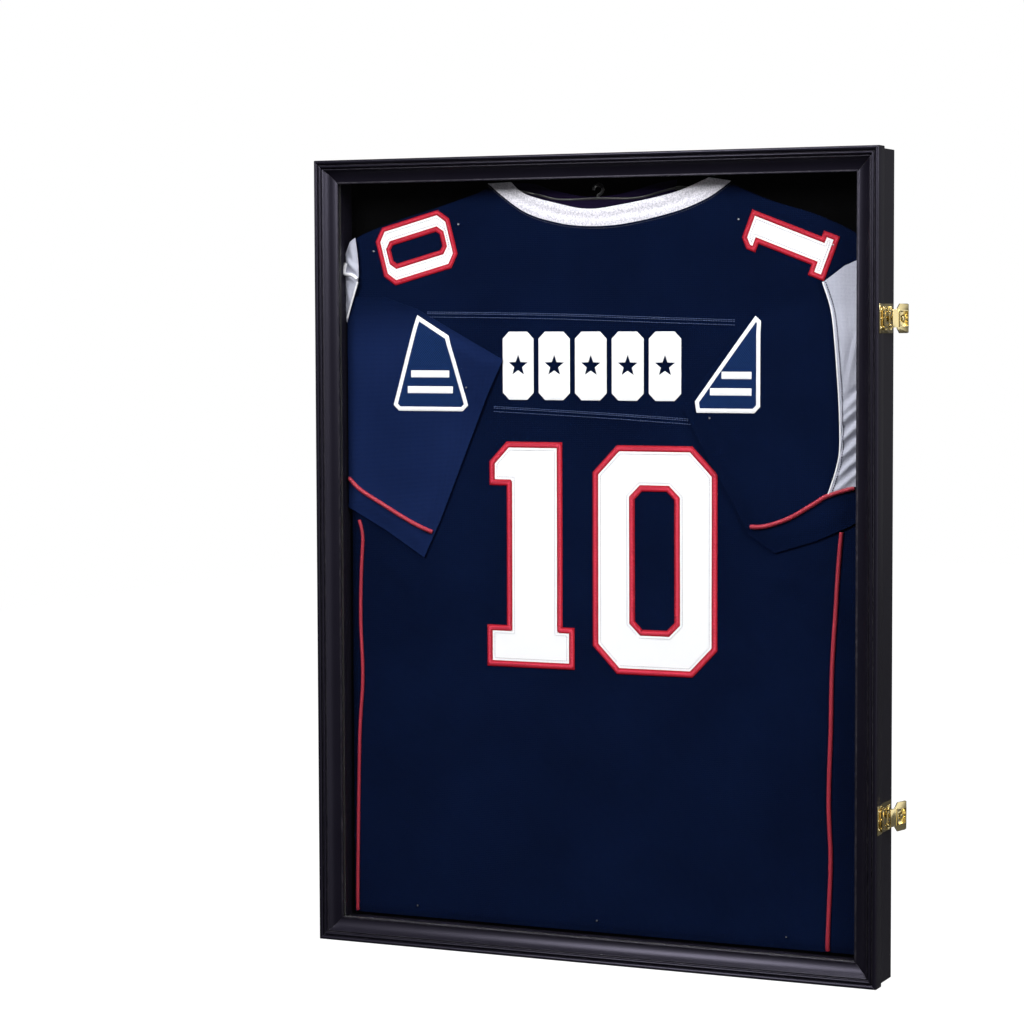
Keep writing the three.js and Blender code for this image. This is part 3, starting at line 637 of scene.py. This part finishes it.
def cloth(name, loops, front, step, thickness, finish):
    """A closed sheet of cloth. front(x, z, inset) gives the depth of its face in millimetres."""
    rim, ties = [], []
    for loop in loops:
        ties += [(len(rim) + i, len(rim) + (i + 1) % len(loop)) for i in range(len(loop))]
        rim += loop
    xs, zs = (np.array(values) for values in zip(*rim))
    rows = np.arange(zs.min(), zs.max(), step * ROW_SHARE)
    columns = np.arange(xs.min(), xs.max() + step, step)
    x = np.concatenate([columns + (i % 2) * step / 2 for i in range(len(rows))])
    z = np.repeat(rows, len(columns))
    gap, _ = nearest(x, z, loops)
    kept = inside(x, z, loops) & (gap > RIM_SHARE * step)
    points = [Vector(p) for p in rim] + [Vector(p) for p in zip(x[kept], z[kept])]
    flat, _, faces, *_ = delaunay_2d_cdt(points, ties, [], 1, 1e-5)
    x, z = (np.array(values) for values in zip(*flat))
    middles = np.array([[np.mean(x[list(f)]), np.mean(z[list(f)])] for f in faces])
    within = inside(middles[:, 0], middles[:, 1], loops)
    faces = [face for face, ok in zip(faces, within) if ok]
    inset, run = nearest(x, z, loops)
    depth = front(x, z, inset)
    mesh = bpy.data.meshes.new(name)
    mesh.from_pydata([spot(*p) for p in zip(x, depth, z)], [], faces)
    for label, values in (("inset", inset), ("run", run)):
        mesh.attributes.new(label, "FLOAT", "POINT").data.foreach_set("value", values)
    sheet = new_piece(name, mesh, finish)
    only(sheet)
    solidify = sheet.modifiers.new("thickness", "SOLIDIFY")
    solidify.thickness = thickness * MM
    solidify.offset = -1
    bpy.ops.object.modifier_apply(modifier=solidify.name)
    print(name, len(mesh.polygons), "faces, depth", depth.min().round(1), depth.max().round(1))
    return in_jersey(sheet, 50)


def soft(distance, reach):
    """0 at an edge, rising smoothly to 1 at reach mm from it."""
    t = np.clip(distance / reach, 0, 1)
    return t * t * (3 - 2 * t)


def folds(x, z, lines):
    """Soft ridges, or creases where the height is negative: x, z, x, z, width, height."""
    total = np.zeros(x.shape)
    for ax, az, bx, bz, width, height in lines:
        t = ((x - ax) * (bx - ax) + (z - az) * (bz - az)) / ((bx - ax) ** 2 + (bz - az) ** 2)
        t = np.clip(t, 0, 1)
        gap = np.hypot(x - ax - t * (bx - ax), z - az - t * (bz - az))
        total += height * (0.35 + 0.65 * np.sin(np.pi * t)) * np.exp(-((gap / width) ** 2))
    return total


def drift(x, z):
    """The slow unevenness of cloth that lies on something soft, from about -1 to 1."""
    return (
        0.5 * np.sin(x / 47 + 0.9 * np.sin(z / 90)) * np.sin(z / 71 + 0.4)
        + 0.3 * np.sin(x / 29 - z / 43 + 1.3)
        + 0.2 * np.sin(x / 17 + z / 61 + 2.1)
    )


print("cloth helpers ready")

# %% The back's outline and its surface
NECK_STEP = 5
collar_lower = [(-118, 374), (-79, 346), (-42, 334), (-7, 330), (32, 332), (85, 343),
                (119, 356), (141, 371)]
collar_upper = [(-92, 375), (-77, 363), (-42, 353), (-10, 347), (23, 350), (81, 361),
                (119, 375)]
neck_middle = [(-108, 374), (-79, 355), (-42, 343), (-7, 338), (32, 341), (85, 352),
               (128, 372)]
left_shoulder = [(-274, 300), (-268, 321), (-219, 339), (-179, 350), (-132, 364)]
right_shoulder = [(141, 368), (179, 352), (227, 337), (268, 317), (274, 300)]
back_outline = (
    curve_through(left_shoulder, NECK_STEP)
    + curve_through(neck_middle, NECK_STEP)
    + curve_through(right_shoulder, NECK_STEP)
    + straight_through([(274, 296), (274, -374), (-274, -374), (-274, 296)], NECK_STEP, False)
)[::-1]
BACK_GAP = 1.2  # mm behind the front of the layer's space
BACK_DRIFT = 0.45
BACK_EDGE_ROLL = 1.6
BACK_ROLL_REACH = 4
back_folds = [
    (-3, 322, -3, 236, 2.2, -0.5),
    (-60, 322, -110, 300, 9, 0.5),
    (60, 324, 120, 305, 10, 0.5),
    (-210, 262, -130, 300, 12, 0.6),
    (262, 60, 150, 20, 10, 0.5),
    (250, 30, 180, -20, 14, 0.5),
    (-240, -60, -190, -260, 16, 0.4),
    (225, -80, 200, -280, 18, 0.4),
    (-30, -160, 60, -250, 22, 0.4),
    (-186, 244, 149, 235, 3.5, 0.5),
    (-112, 149, 108, 138, 3.5, 0.5),
    (150, -6, 250, -24, 6, 0.5),
    (200, -40, 262, -70, 7, 0.5),
    (-262, 20, -200, -40, 8, 0.5),
]


def back_depth(x, z):
    """The depth of the back's face: nearly flat, its edge rolled back over the layer behind."""
    edge, _ = nearest(x, z, [back_outline])
    relief = BACK_DRIFT * drift(x, z) + folds(x, z, back_folds)
    roll = BACK_EDGE_ROLL * np.exp(-((edge / BACK_ROLL_REACH) ** 2))
    return back_layer_front + BACK_GAP - relief + roll


def chest_depth(x, z, inset):
    return chest_layer_front + 1.6 - 0.5 * drift(x, z)


back = cloth("jersey_back", [back_outline], lambda x, z, inset: back_depth(x, z), 4.6, 1.0, navy)
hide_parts("jersey_back_layer")
chest = cloth("jersey_chest", [back_outline], chest_depth, 7, 1.0, navy)
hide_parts("jersey_chest_layer")

# %% [markdown]
# The sleeves are folded over the back. Each is one ply that stands clear of the back and rolls
# down to it along its free edges, and at the shoulder it comes out of the back without an edge.

# %% Sleeves
left_sleeve_outline = straight_through(
    [(-276, 262), (-276, 46), (-234, 24), (-190, -3), (-172, 34), (-146, 96), (-118, 163),
     (-101, 198), (-146, 222), (-197, 249), (-236, 262)], 4)
right_sleeve_outline = straight_through(
    [(276, 262), (226, 264), (172, 248), (132, 204), (92, 152), (118, 104), (146, 58), (161, 29),
     (188, 12), (230, 25), (262, 39), (276, 47)], 4)
sleeve_folds_left = [
    (-262, 250, -226, 130, 14, 0.7),
    (-214, 130, -178, 30, 16, 0.8),
    (-150, 150, -172, 70, 10, 0.6),
    (-250, 100, -236, 48, 9, -0.6),
    (-196, 236, -128, 196, 8, 0.5),
]
sleeve_folds_right = [
    (250, 240, 236, 110, 16, 0.7),
    (196, 214, 176, 80, 16, 0.7),
    (134, 150, 168, 60, 12, 0.6),
    (228, 100, 244, 62, 8, -0.5),
]
SHOULDER_TOP, SHOULDER_REACH = 262, 46
SLEEVE_GAP = 1.3  # mm in front of the back of the sleeve's space
SLEEVE_PUFF, SLEEVE_PUFF_REACH = 2.2, 16
SLEEVE_FOLD_REACH = 10


def sleeve_depth(x, z, outline, lines):
    """The depth of a sleeve's face: puffed, and level with the back at the shoulder."""
    edge, _ = nearest(x, z, [outline])
    puffed = sleeve_space_back - SLEEVE_GAP - SLEEVE_PUFF * soft(edge, SLEEVE_PUFF_REACH)
    puffed -= folds(x, z, lines) * soft(edge, SLEEVE_FOLD_REACH) + 0.3 * drift(x + 90, z)
    shoulder = soft(SHOULDER_TOP - z, SHOULDER_REACH)
    return puffed * shoulder + (back_layer_front - 0.9) * (1 - shoulder)


def left_sleeve_depth(x, z):
    return sleeve_depth(x, z, left_sleeve_outline, sleeve_folds_left)


def right_sleeve_depth(x, z):
    return sleeve_depth(x, z, right_sleeve_outline, sleeve_folds_right)


left_sleeve = cloth("jersey_left_sleeve", [left_sleeve_outline],
                    lambda x, z, inset: left_sleeve_depth(x, z), 3.6, 0.9, sleeve_navy_painted_lit)
right_sleeve = cloth("jersey_right_sleeve", [right_sleeve_outline[::-1]],
                     lambda x, z, inset: right_sleeve_depth(x, z), 3.6, 0.9, navy)
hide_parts("jersey_sleeve_left")
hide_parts("jersey_sleeve_right")

# %% [markdown]
# The collar is a ribbed band of silver heather, doubled over the neck seam, so it is thicker than
# the rest and rounded. Behind it a strip of the inner collar shows.

# %% Collar
COLLAR_LIFT = 0.5
COLLAR_BULGE, COLLAR_ROUND = 1.3, 5
collar_outline = curve_through(collar_lower, 3) + curve_through(collar_upper, 3)[::-1]
collar = cloth("collar_band", [collar_outline],
               lambda x, z, inset: back_depth(x, z) - COLLAR_LIFT
               - COLLAR_BULGE * soft(inset, COLLAR_ROUND), 2.4, 1.6, heather)
inner_top = [(-92, 374), (-70, 373), (-48, 366), (-12, 359), (24, 361), (60, 370), (84, 374)]
inner_low = [(-84, 362), (-42, 346), (-8, 341), (24, 344), (80, 355)]
inner_outline = curve_through(inner_low, 4) + curve_through(inner_top, 4)[::-1]
inner_collar = cloth("inner_collar", [inner_outline],
                     lambda x, z, inset: np.full(x.shape, back_layer_back + 1.0), 3, 0.9, lining)

# %% Silver inserts
INSERT_THICKNESS = 0.8
INSERT_HEM = 3  # the crinkles fade out this far from the edge
LEFT_INSERT_DEPTH = 26.4
insert_folds_right = [
    (262, 176, 279, 252, 3.4, 2.4),
    (257, 168, 272, 236, 2.8, -1.8),
    (259, 160, 280, 178, 3.0, -2.4),
    (258, 148, 280, 170, 3.2, 2.6),
]
insert_folds_right += [(251, z, 281, z + 26, 2.4, 2.4) for z in (134, 117, 101, 86, 73)]
insert_folds_right += [(251, z, 281, z + 26, 2.2, -2.2) for z in (125, 109, 93, 79)]
right_insert_outline = (
    curve_through([(236, 272), (247, 237), (253, 175), (255, 121), (252, 97), (243, 70)], 3)
    + straight_through([(262, 76), (277, 80), (277, 300), (272, 294), (258, 288)], 3, False)
)
left_insert_outline = (
    curve_through([(-276, 236), (-272, 252), (-263, 280), (-263, 300), (-266, 322)], 2.5)
    + straight_through([(-272, 318), (-277, 306), (-277, 240)], 2.5, False)
)
left_insert_folds = [
    (-279, 303, -261, 285, 2.4, 2.6),
    (-279, 296, -263, 281, 1.6, -2.2),
    (-279, 286, -264, 277, 2.0, 2.0),
    (-273, 320, -268, 298, 2.2, 1.4),
    (-276, 274, -269, 246, 2.2, 1.8),
]


def right_insert_depth(x, z, inset):
    """Crinkled, and never behind the sleeve it is sewn to."""
    smooth = right_sleeve_depth(np.minimum(x, 262), np.minimum(z, 250)) - 1.8
    crinkled = smooth - folds(x, z, insert_folds_right) * soft(inset, INSERT_HEM)
    return np.minimum(crinkled, right_sleeve_depth(x, z) - INSERT_THICKNESS - 0.1)


def left_insert_depth(x, z, inset):
    return LEFT_INSERT_DEPTH - folds(x, z, left_insert_folds) * soft(inset, INSERT_HEM)


right_insert = cloth("right_insert", [right_insert_outline], right_insert_depth, 1.8,
                     INSERT_THICKNESS, insert_silver)
left_insert = cloth("left_insert", [left_insert_outline], left_insert_depth, 1.6,
                    INSERT_THICKNESS, insert_silver)

# %% [markdown]
# ## What is sewn on
#
# The numbers are white twill with a satin-stitched red border and a fine line of grey stitches
# inside it. The shirt's number here is a plain 10, a row of five blocks with stars stands where a
# name would be, and the badges on the sleeves are plain shields with two bars.


# %% Numbers
ONE = [(-117, 72), (-98, 72), (-98, -69), (-120, -69), (-120, -111), (-24, -111), (-24, -69),
       (-37, -69), (-37, 116), (-98, 116), (-117, 96)]
ZERO = [(22, -113), (102, -113), (128, -86), (128, 87), (102, 114), (22, 114), (-4, 87), (-4, -86)]
ZERO_HOLE = [(49, -68), (75, -68), (83, -60), (83, 61), (75, 69), (49, 69), (41, 61), (41, -60)]


def turned(loop, middle, place, scale, degrees):
    """A loop scaled about its middle, turned anticlockwise and put in its place."""
    turn = Matrix.Rotation(math.radians(degrees), 2)
    shape = []
    for x, z in loop:
        point = turn @ Vector(((x - middle[0]) * scale[0], (z - middle[1]) * scale[1]))
        shape.append((point.x + place[0], point.y + place[1]))
    return shape


TWILL_LIFT, TWILL_THICKNESS = 0.75, 0.7
TWILL_INSET = 0.6  # of the border: how far in the twill's own edge lies


def number(name, outer, holes, border, step):
    """White twill and its satin border."""
    loops = [moved_in(outer, border * TWILL_INSET)]
    loops += [moved_in(hole, -border * TWILL_INSET) for hole in holes]
    plate = cloth(name + "_twill", [straight_through(loop, step) for loop in loops],
                  lambda x, z, inset: back_depth(x, z) - TWILL_LIFT, step, TWILL_THICKNESS,
                  white_twill)
    edge_loops = [(outer, moved_in(outer, border))]
    edge_loops += [(moved_in(hole, -border), hole) for hole in holes]
    edges = []
    for i, pair in enumerate(edge_loops):
        edges.append(cloth(
            f"{name}_border_{i + 1}", [straight_through(loop, step / 2) for loop in pair],
            lambda x, z, inset: back_depth(x, z) - TWILL_LIFT - 0.7 * soft(inset, border / 3),
            step / 2, 0.9, red_satin))
    return [plate, *edges]


ONE_PLACE = ((-72, 0), (202, 311))  # the middle of the digit, and where it goes on the shoulder
ZERO_PLACE = ((62, 0), (-198, 311))
NUMBERS = [
    ("number_one", ONE, [], 6.0, 4),
    ("number_zero", ZERO, [ZERO_HOLE], 6.0, 4),
    ("shoulder_one", turned(ONE, *ONE_PLACE, (0.47, 0.41), 69), [], 5.0, 3),
    ("shoulder_zero", turned(ZERO, *ZERO_PLACE, (0.46, 0.38), -75),
     [turned(ZERO_HOLE, *ZERO_PLACE, (0.46, 0.42), -75)], 5.0, 3),
]
sewn = []
for name, outer, holes, border, step in NUMBERS:
    sewn += number(name, outer, holes, border, step)


# %% Name blocks
STAR_WAIST = 0.42


def star(middle, radius):
    """An upright five-pointed star's ten corners, anticlockwise."""
    corners = []
    for k in range(10):
        reach = radius if k % 2 == 0 else radius * STAR_WAIST
        angle = math.radians(90 + 36 * k)
        corners.append((middle[0] + reach * math.cos(angle), middle[1] + reach * math.sin(angle)))
    return corners


HEM = 1.2  # how far in from its edge a sewn-on shape rises
BLOCK_PITCH = 39.5
block = [(-10, -34), (10, -34), (17, -27), (17, 27), (10, 34), (-10, 34), (-17, 27), (-17, -27)]
for i in range(5):
    centre = (-85 + BLOCK_PITCH * i, 192)
    outer = [(x + centre[0], z + centre[1]) for x, z in block]
    loops = [straight_through(outer, 3), straight_through(star(centre, 11), 3)]
    sewn.append(cloth(f"name_block_{i + 1}", loops,
                      lambda x, z, inset: back_depth(x, z) - 0.4 - 0.5 * soft(inset, HEM),
                      3, 0.9, white_twill))


# %% Sleeve badges
BADGE_EDGE = 4.2
BADGE_LIFT = 0.7


def badge(name, outline, bars, under):
    """A shield: white satin edge, blue fill and white bars."""
    pieces = [cloth(name + "_fill", [straight_through(moved_in(outline, BADGE_EDGE - 2.2), 2.5)],
                    lambda x, z, inset: under(x, z) - BADGE_LIFT + 0.05, 2.5, 0.6, blue_fill)]
    loops = [straight_through(outline, 2), straight_through(moved_in(outline, BADGE_EDGE), 2)]
    pieces.append(cloth(name + "_edge", loops,
                        lambda x, z, inset: under(x, z) - BADGE_LIFT - 0.6 * soft(inset, HEM),
                        1.8, 0.8, white_satin))
    for i, shape in enumerate(bars):
        pieces.append(cloth(f"{name}_mark_{i + 1}", [straight_through(shape, 2)],
                            lambda x, z, inset: under(x, z) - BADGE_LIFT
                            - 0.45 * soft(inset, HEM),
                            2, 0.6, white_twill))
    return pieces


def bar(left, right, low, high):
    """A bar's corners, anticlockwise."""
    return [(left, high), (left, low), (right, low), (right, high)]


left_badge = [(-196, 243), (-222, 152), (-216, 146), (-144, 146), (-138, 152), (-160, 222)]
right_badge = [(168, 241), (106, 158), (108, 147), (168, 147), (174, 153), (174, 236)]
left_bars = [bar(-206, -155, 164, 171), bar(-202, -159, 180, 187)]
right_bars = [bar(122, 165, 164, 171), bar(134, 165, 180, 187)]
left_pieces = badge("left_badge", left_badge, left_bars, left_sleeve_depth)
right_pieces = badge("right_badge", right_badge, right_bars, right_sleeve_depth)


# %% [markdown]
# Piping is a fine round cord sewn into a seam, so it is a thin tube on the cloth. Seams are rows
# of single stitches: one stitch is a short six-sided rod, repeated along the seam.


# %% Piping
TUBE_SIDES = 8
TUBE_LIFT = 0.55  # of its radius: where a tube's middle lies in front of the cloth


def tube(name, line, radius, under, finish):
    """A thin closed tube along a line, half sunk into the cloth under it."""
    x, z = (np.array(values) for values in zip(*line))
    middle = [spot(*p) for p in zip(x, under(x, z) - radius * TUBE_LIFT, z)]
    shape = bmesh.new()
    rings = []
    for i, centre in enumerate(middle):
        ahead = middle[min(i + 1, len(middle) - 1)] - middle[max(i - 1, 0)]
        across = ahead.cross(Vector((0, 1, 0))).normalized()
        out = across.cross(ahead).normalized()
        rings.append([shape.verts.new(
            centre + radius * MM * (math.cos(a) * across + math.sin(a) * out))
            for a in (2 * math.pi * k / TUBE_SIDES for k in range(TUBE_SIDES))])
    for first, second in zip(rings, rings[1:]):
        for k in range(TUBE_SIDES):
            after = (k + 1) % TUBE_SIDES
            shape.faces.new((first[k], first[after], second[after], second[k]))
    shape.faces.new(rings[0])
    shape.faces.new(rings[-1][::-1])
    bmesh.ops.recalc_face_normals(shape, faces=shape.faces)
    mesh = bpy.data.meshes.new(name)
    shape.to_mesh(mesh)
    shape.free()
    return in_jersey(new_piece(name, mesh, finish), 60)


PIPING_RADIUS = 2.2
THIN_PIPING_RADIUS = 1.8
left_side = [(-265, 33), (-261, 16), (-263, -20), (-264, -69), (-262, -130), (-266, -191),
             (-269, -307), (-270, -372)]
right_side = [(255, 34), (252, 1), (249, -48), (246, -99), (245, -156), (243, -227), (245, -284),
              (243, -341), (242, -372)]
left_cuff = [(-275, 76), (-260, 64), (-235, 50), (-205, 34), (-180, 23)]
right_cuff = [(269, 77), (243, 69), (226, 59), (203, 46), (179, 38), (164, 37)]
sewn.append(tube("side_piping_left", curve_through(left_side, 4), THIN_PIPING_RADIUS, back_depth,
                 red_piping))
sewn.append(tube("side_piping_right", curve_through(right_side, 4), PIPING_RADIUS, back_depth,
                 red_piping))
left_pieces.append(tube("cuff_piping_left", curve_through(left_cuff, 3), PIPING_RADIUS,
                        left_sleeve_depth, red_piping))
right_pieces.append(tube("cuff_piping_right", curve_through(right_cuff, 3), PIPING_RADIUS,
                         right_sleeve_depth, red_piping))
print("piping:", len(sewn), "pieces on the back")


# %% Stitched seams
STITCH_SHARE = 0.68  # of the pitch: a stitch's length


def stitches(name, line, pitch, radius, under, finish):
    """A row of stitches along a line, each a short six-sided rod lying on the cloth."""
    marks = np.array(line)
    walked = np.concatenate([[0], np.cumsum(np.hypot(*np.diff(marks, axis=0).T))])
    count = int(walked[-1] / pitch)
    shape = bmesh.new()
    starts = np.arange(count) * pitch
    ends = []
    for at in (starts, starts + STITCH_SHARE * pitch):
        x, z = (np.interp(at, walked, marks[:, k]) for k in (0, 1))
        ends.append([spot(*p) for p in zip(x, under(x, z) - radius * 0.5, z)])
    for start, end in zip(*ends):
        rod = bmesh.ops.create_cone(shape, cap_ends=True, segments=6, radius1=radius * MM,
                                    radius2=radius * MM, depth=(end - start).length)
        turn = (end - start).to_track_quat("Z", "Y").to_matrix().to_4x4()
        bmesh.ops.transform(shape, verts=rod["verts"],
                            matrix=Matrix.Translation((start + end) / 2) @ turn)
    mesh = bpy.data.meshes.new(name)
    shape.to_mesh(mesh)
    shape.free()
    return in_jersey(new_piece(name, mesh, finish))


def raised(under, by):
    """A surface that stands by mm in front of another."""
    return lambda x, z: under(x, z) - by


SEAM_ROWS = (0, 1.6, 5)  # mm below the seam
LINE_INSET = 2.4  # mm from a number's border to the stitch line inside it
yoke_seam = [(-186, 246), (-60, 244), (60, 240), (149, 237)]
lower_seam = [(-112, 151), (0, 146), (108, 140)]
for name, line in (("yoke_seam", yoke_seam), ("lower_seam", lower_seam)):
    for i, drop in enumerate(SEAM_ROWS):
        row = [(x, z - drop) for x, z in curve_through(line, 6)]
        sewn.append(stitches(f"{name}_{i + 1}", row, 2.6, 0.36, back_depth, navy_thread))
number_front = raised(back_depth, TWILL_LIFT)
for name, outer, holes, border, _ in NUMBERS:
    lines = [("_line", moved_in(outer, border + LINE_INSET))]
    lines += [("_inner_line", moved_in(hole, -border - LINE_INSET)) for hole in holes]
    for ending, line in lines:
        sewn.append(stitches(name + ending, straight_through(line, 3), 2.4, 0.3, number_front,
                             grey_thread))
under_collar = [(x, z - 2.2) for x, z in curve_through(collar_lower, 4)]
sewn.append(stitches("collar_seam", under_collar, 2.4, 0.28, back_depth, dark_thread))
insert_edge = curve_through([(233, 273), (244, 237), (250, 175), (252, 121), (249, 97),
                             (240, 70)], 4)
right_pieces.append(tube("insert_cord", [(x + 3.4, z) for x, z in insert_edge], 0.85,
                         raised(right_sleeve_depth, 1.6), white_thread))
right_pieces.append(stitches("insert_seam", [(x + 6.6, z) for x, z in insert_edge], 2.4, 0.5,
                             lambda x, z: right_insert_depth(x, z, 6.0) - 0.3, dark_thread))
left_edge = curve_through([(-275, 240), (-271, 253), (-263, 277)], 2.5)
left_wing = curve_through([(-263, 280), (-269, 284), (-278, 286), (-276, 296)], 2)
for name, line, radius in (("cord", left_edge, 1.0), ("wing", left_wing, 1.9)):
    sewn.append(tube("left_insert_" + name, line, radius,
                     lambda x, z: np.full(x.shape, LEFT_INSERT_DEPTH - 0.4), white_thread))
print("sewn on the back:", len(sewn))


# %% [markdown]
# ## Small screws
#
# Latches and hinges are held by small brass screws. One domed head with a slot is modelled from a
# primitive, and copied to each screw place on the latches' keepers and bases.


# %% The screw head
HEAD_RADIUS = 1.5  # mm
SLOT_HALF = 0.16 * HEAD_RADIUS * MM
bpy.ops.mesh.primitive_uv_sphere_add(segments=20, ring_count=12, radius=HEAD_RADIUS * MM)
head = bpy.context.object
head.name = "screw_head"
bpy.ops.object.mode_set(mode="EDIT")
bpy.ops.mesh.select_all(action="SELECT")
bpy.ops.mesh.bisect(plane_co=(0, 0, 0), plane_no=(0, 0, 1), clear_inner=True, use_fill=True)
bpy.ops.mesh.select_all(action="SELECT")
bpy.ops.transform.resize(value=(1, 1, 0.42))
for way in (-1, 1):
    bpy.ops.mesh.select_all(action="SELECT")
    bpy.ops.mesh.bisect(plane_co=(way * SLOT_HALF, 0, 0), plane_no=(1, 0, 0))
bpy.ops.object.mode_set(mode="OBJECT")
slot_floor = 0.05 * HEAD_RADIUS * MM
for vert in head.data.vertices:
    if abs(vert.co.x) <= SLOT_HALF * 1.01 and vert.co.z > slot_floor:
        vert.co.z = max(slot_floor, vert.co.z - 0.24 * HEAD_RADIUS * MM)
head.data.materials.append(brass.material)
only(head)
bpy.ops.object.shade_smooth_by_angle(angle=math.radians(40))
print("one screw head:", len(head.data.polygons), "faces")


# %% Its places
def put_head(name, body, at, turn):
    """A copy of the screw head, its flat side at a point of the case's right side."""
    bpy.ops.object.select_all(action="DESELECT")
    copy = head.copy()
    copy.data = head.data.copy()
    copy.name = name
    bpy.context.collection.objects.link(copy)
    copy.matrix_world = (
        Matrix.Translation(at) @ Vector((1, 0, 0)).to_track_quat("Z", "Y").to_matrix().to_4x4()
        @ Matrix.Rotation(math.radians(turn), 4, "Z")
    )
    only(copy)
    bpy.ops.object.transform_apply(location=True, rotation=True, scale=True)
    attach(copy, body)


LEAF_THICKNESS = 0.8 * MM
heads = 0
for level in LEVELS:
    for part, body, offsets, first_turn, turn_step in (
        ("keeper", "door", (-9, 0, 9), 35, 50), ("base", "case", (-9, 9), 0, 70),
    ):
        low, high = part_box(f"latch_{part}_{level}")
        y = low.y + 2.6 * MM if part == "keeper" else high.y - 4 * MM
        for i, offset in enumerate(offsets):
            at = (low.x + LEAF_THICKNESS, y, (low.z + high.z) / 2 + offset * MM)
            put_head(f"{part}_screw_{level}_{i + 1}", body, at, first_turn + turn_step * i)
            heads += 1
bpy.data.objects.remove(head)
print("screw heads:", heads)

# %% [markdown]
# ## Floor, light and camera
#
# The case hangs on no wall here, so that its back can be seen. The camera sees a white room: a
# floor well below the case, and a white sky. Neither shines like that on the case itself, or the
# clear pane and the satin rails would mirror it as a grey haze. Soft lights light the cloth.


# %% What the eye sees straight
def seen_straight(tree, most):
    """1 for a ray that comes from the camera, even through clear panes, and 0 for a mirrored one.

    Of such a ray's steps, all but most are steps through glass.
    """
    path = tree.nodes.new("ShaderNodeLightPath").outputs
    direct = tree_math(tree, "MAXIMUM", path["Is Camera Ray"], path["Is Transmission Ray"])
    other_steps = tree_math(tree, "SUBTRACT", path["Ray Depth"], path["Transmission Depth"])
    return tree_math(tree, "MULTIPLY", direct, tree_math(tree, "LESS_THAN", other_steps, most))


print("light path helper ready")

# %% Floor
FLOOR_DROP = 0.32
FLOOR_BACK = 4.1  # the floor lies mostly behind, so that the pane doesn't mirror it
floor_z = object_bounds()[0].z - FLOOR_DROP
bpy.ops.object.select_all(action="DESELECT")
bpy.ops.mesh.primitive_plane_add(size=9, location=(0, FLOOR_BACK, floor_z))
floor = bpy.context.object
floor.name = "studio_floor"
floor_finish = mottled("white_floor", 60.0, "Fine", (0.09, 0.09, 0.09), (0.11, 0.11, 0.11),
                       Roughness=0.9, Emission_Color=(1, 1, 1, 1))
floor_finish.feed("Emission Strength", seen_straight(floor_finish.tree, 0.5))
floor.data.materials.append(floor_finish.material)

# %% World
# Light comes from behind, most of it from the right, and hardly any from the front. The camera
# itself sees plain white, also through the open door's pane.
world = bpy.data.worlds.new("studio")
bpy.context.scene.world = world
world.use_nodes = True
sky = world.node_tree
parts = sky.nodes.new("ShaderNodeSeparateXYZ")
sky.links.new(sky.nodes.new("ShaderNodeTexCoord").outputs["Generated"], parts.inputs[0])
behind = map_range(sky, parts.outputs["Y"], -0.12, 0.12, 0.008, 0.15)
to_the_right = map_range(sky, parts.outputs["X"], 0.6, 0.8, 0.0, 0.9)
glow = tree_math(sky, "ADD", behind.outputs["Result"], to_the_right.outputs["Result"])
brightest = tree_math(sky, "MAXIMUM", glow, seen_straight(sky, 1.5))
sky.links.new(brightest, sky.nodes["Background"].inputs["Strength"])
sky.nodes["Background"].inputs["Color"].default_value = (1, 1, 1, 1)


# %% Lights
def softbox(name, place, size, power, target):
    """A square light at a place in metres, turned to its target."""
    light = bpy.data.lights.new(name, "AREA")
    light.shape = "SQUARE"
    light.size = size
    light.energy = power
    lamp = bpy.data.objects.new(name, light)
    bpy.context.collection.objects.link(lamp)
    lamp.location = place
    lamp.visible_camera = False
    lamp.rotation_euler = (Vector(target) - Vector(place)).to_track_quat("-Z", "Y").to_euler()
    return lamp


case_middle = spot(0, 0, 0)
softbox("key_light", (-0.85, -2.5, 1.5), 1.3, 124, case_middle)
softbox("fill_light", (2.4, -1.6, 1.3), 1.2, 70, case_middle)
softbox("top_light", (0.2, -0.7, 2.6), 1.0, 40, case_middle)
softbox("floor_light", (0, 4.6, 3.4), 6.0, 18, (0, 4.6, floor_z))

# %% Camera
camera_data = bpy.data.cameras.new("camera")
camera_data.lens = 106.8
camera_data.sensor_width = 36
camera = bpy.data.objects.new("camera", camera_data)
bpy.context.collection.objects.link(camera)
camera.location = (1.182, -2.7967, -0.1521)
look_down, look_left, roll = math.radians(3.66), math.radians(24.74), math.radians(0.21)
camera.rotation_euler = (
    Matrix.Rotation(look_left, 3, "Z") @ Matrix.Rotation(math.pi / 2 - look_down, 3, "X")
    @ Matrix.Rotation(-roll, 3, "Z")
).to_euler()
bpy.context.scene.camera = camera
bpy.context.scene.view_settings.view_transform = "Standard"
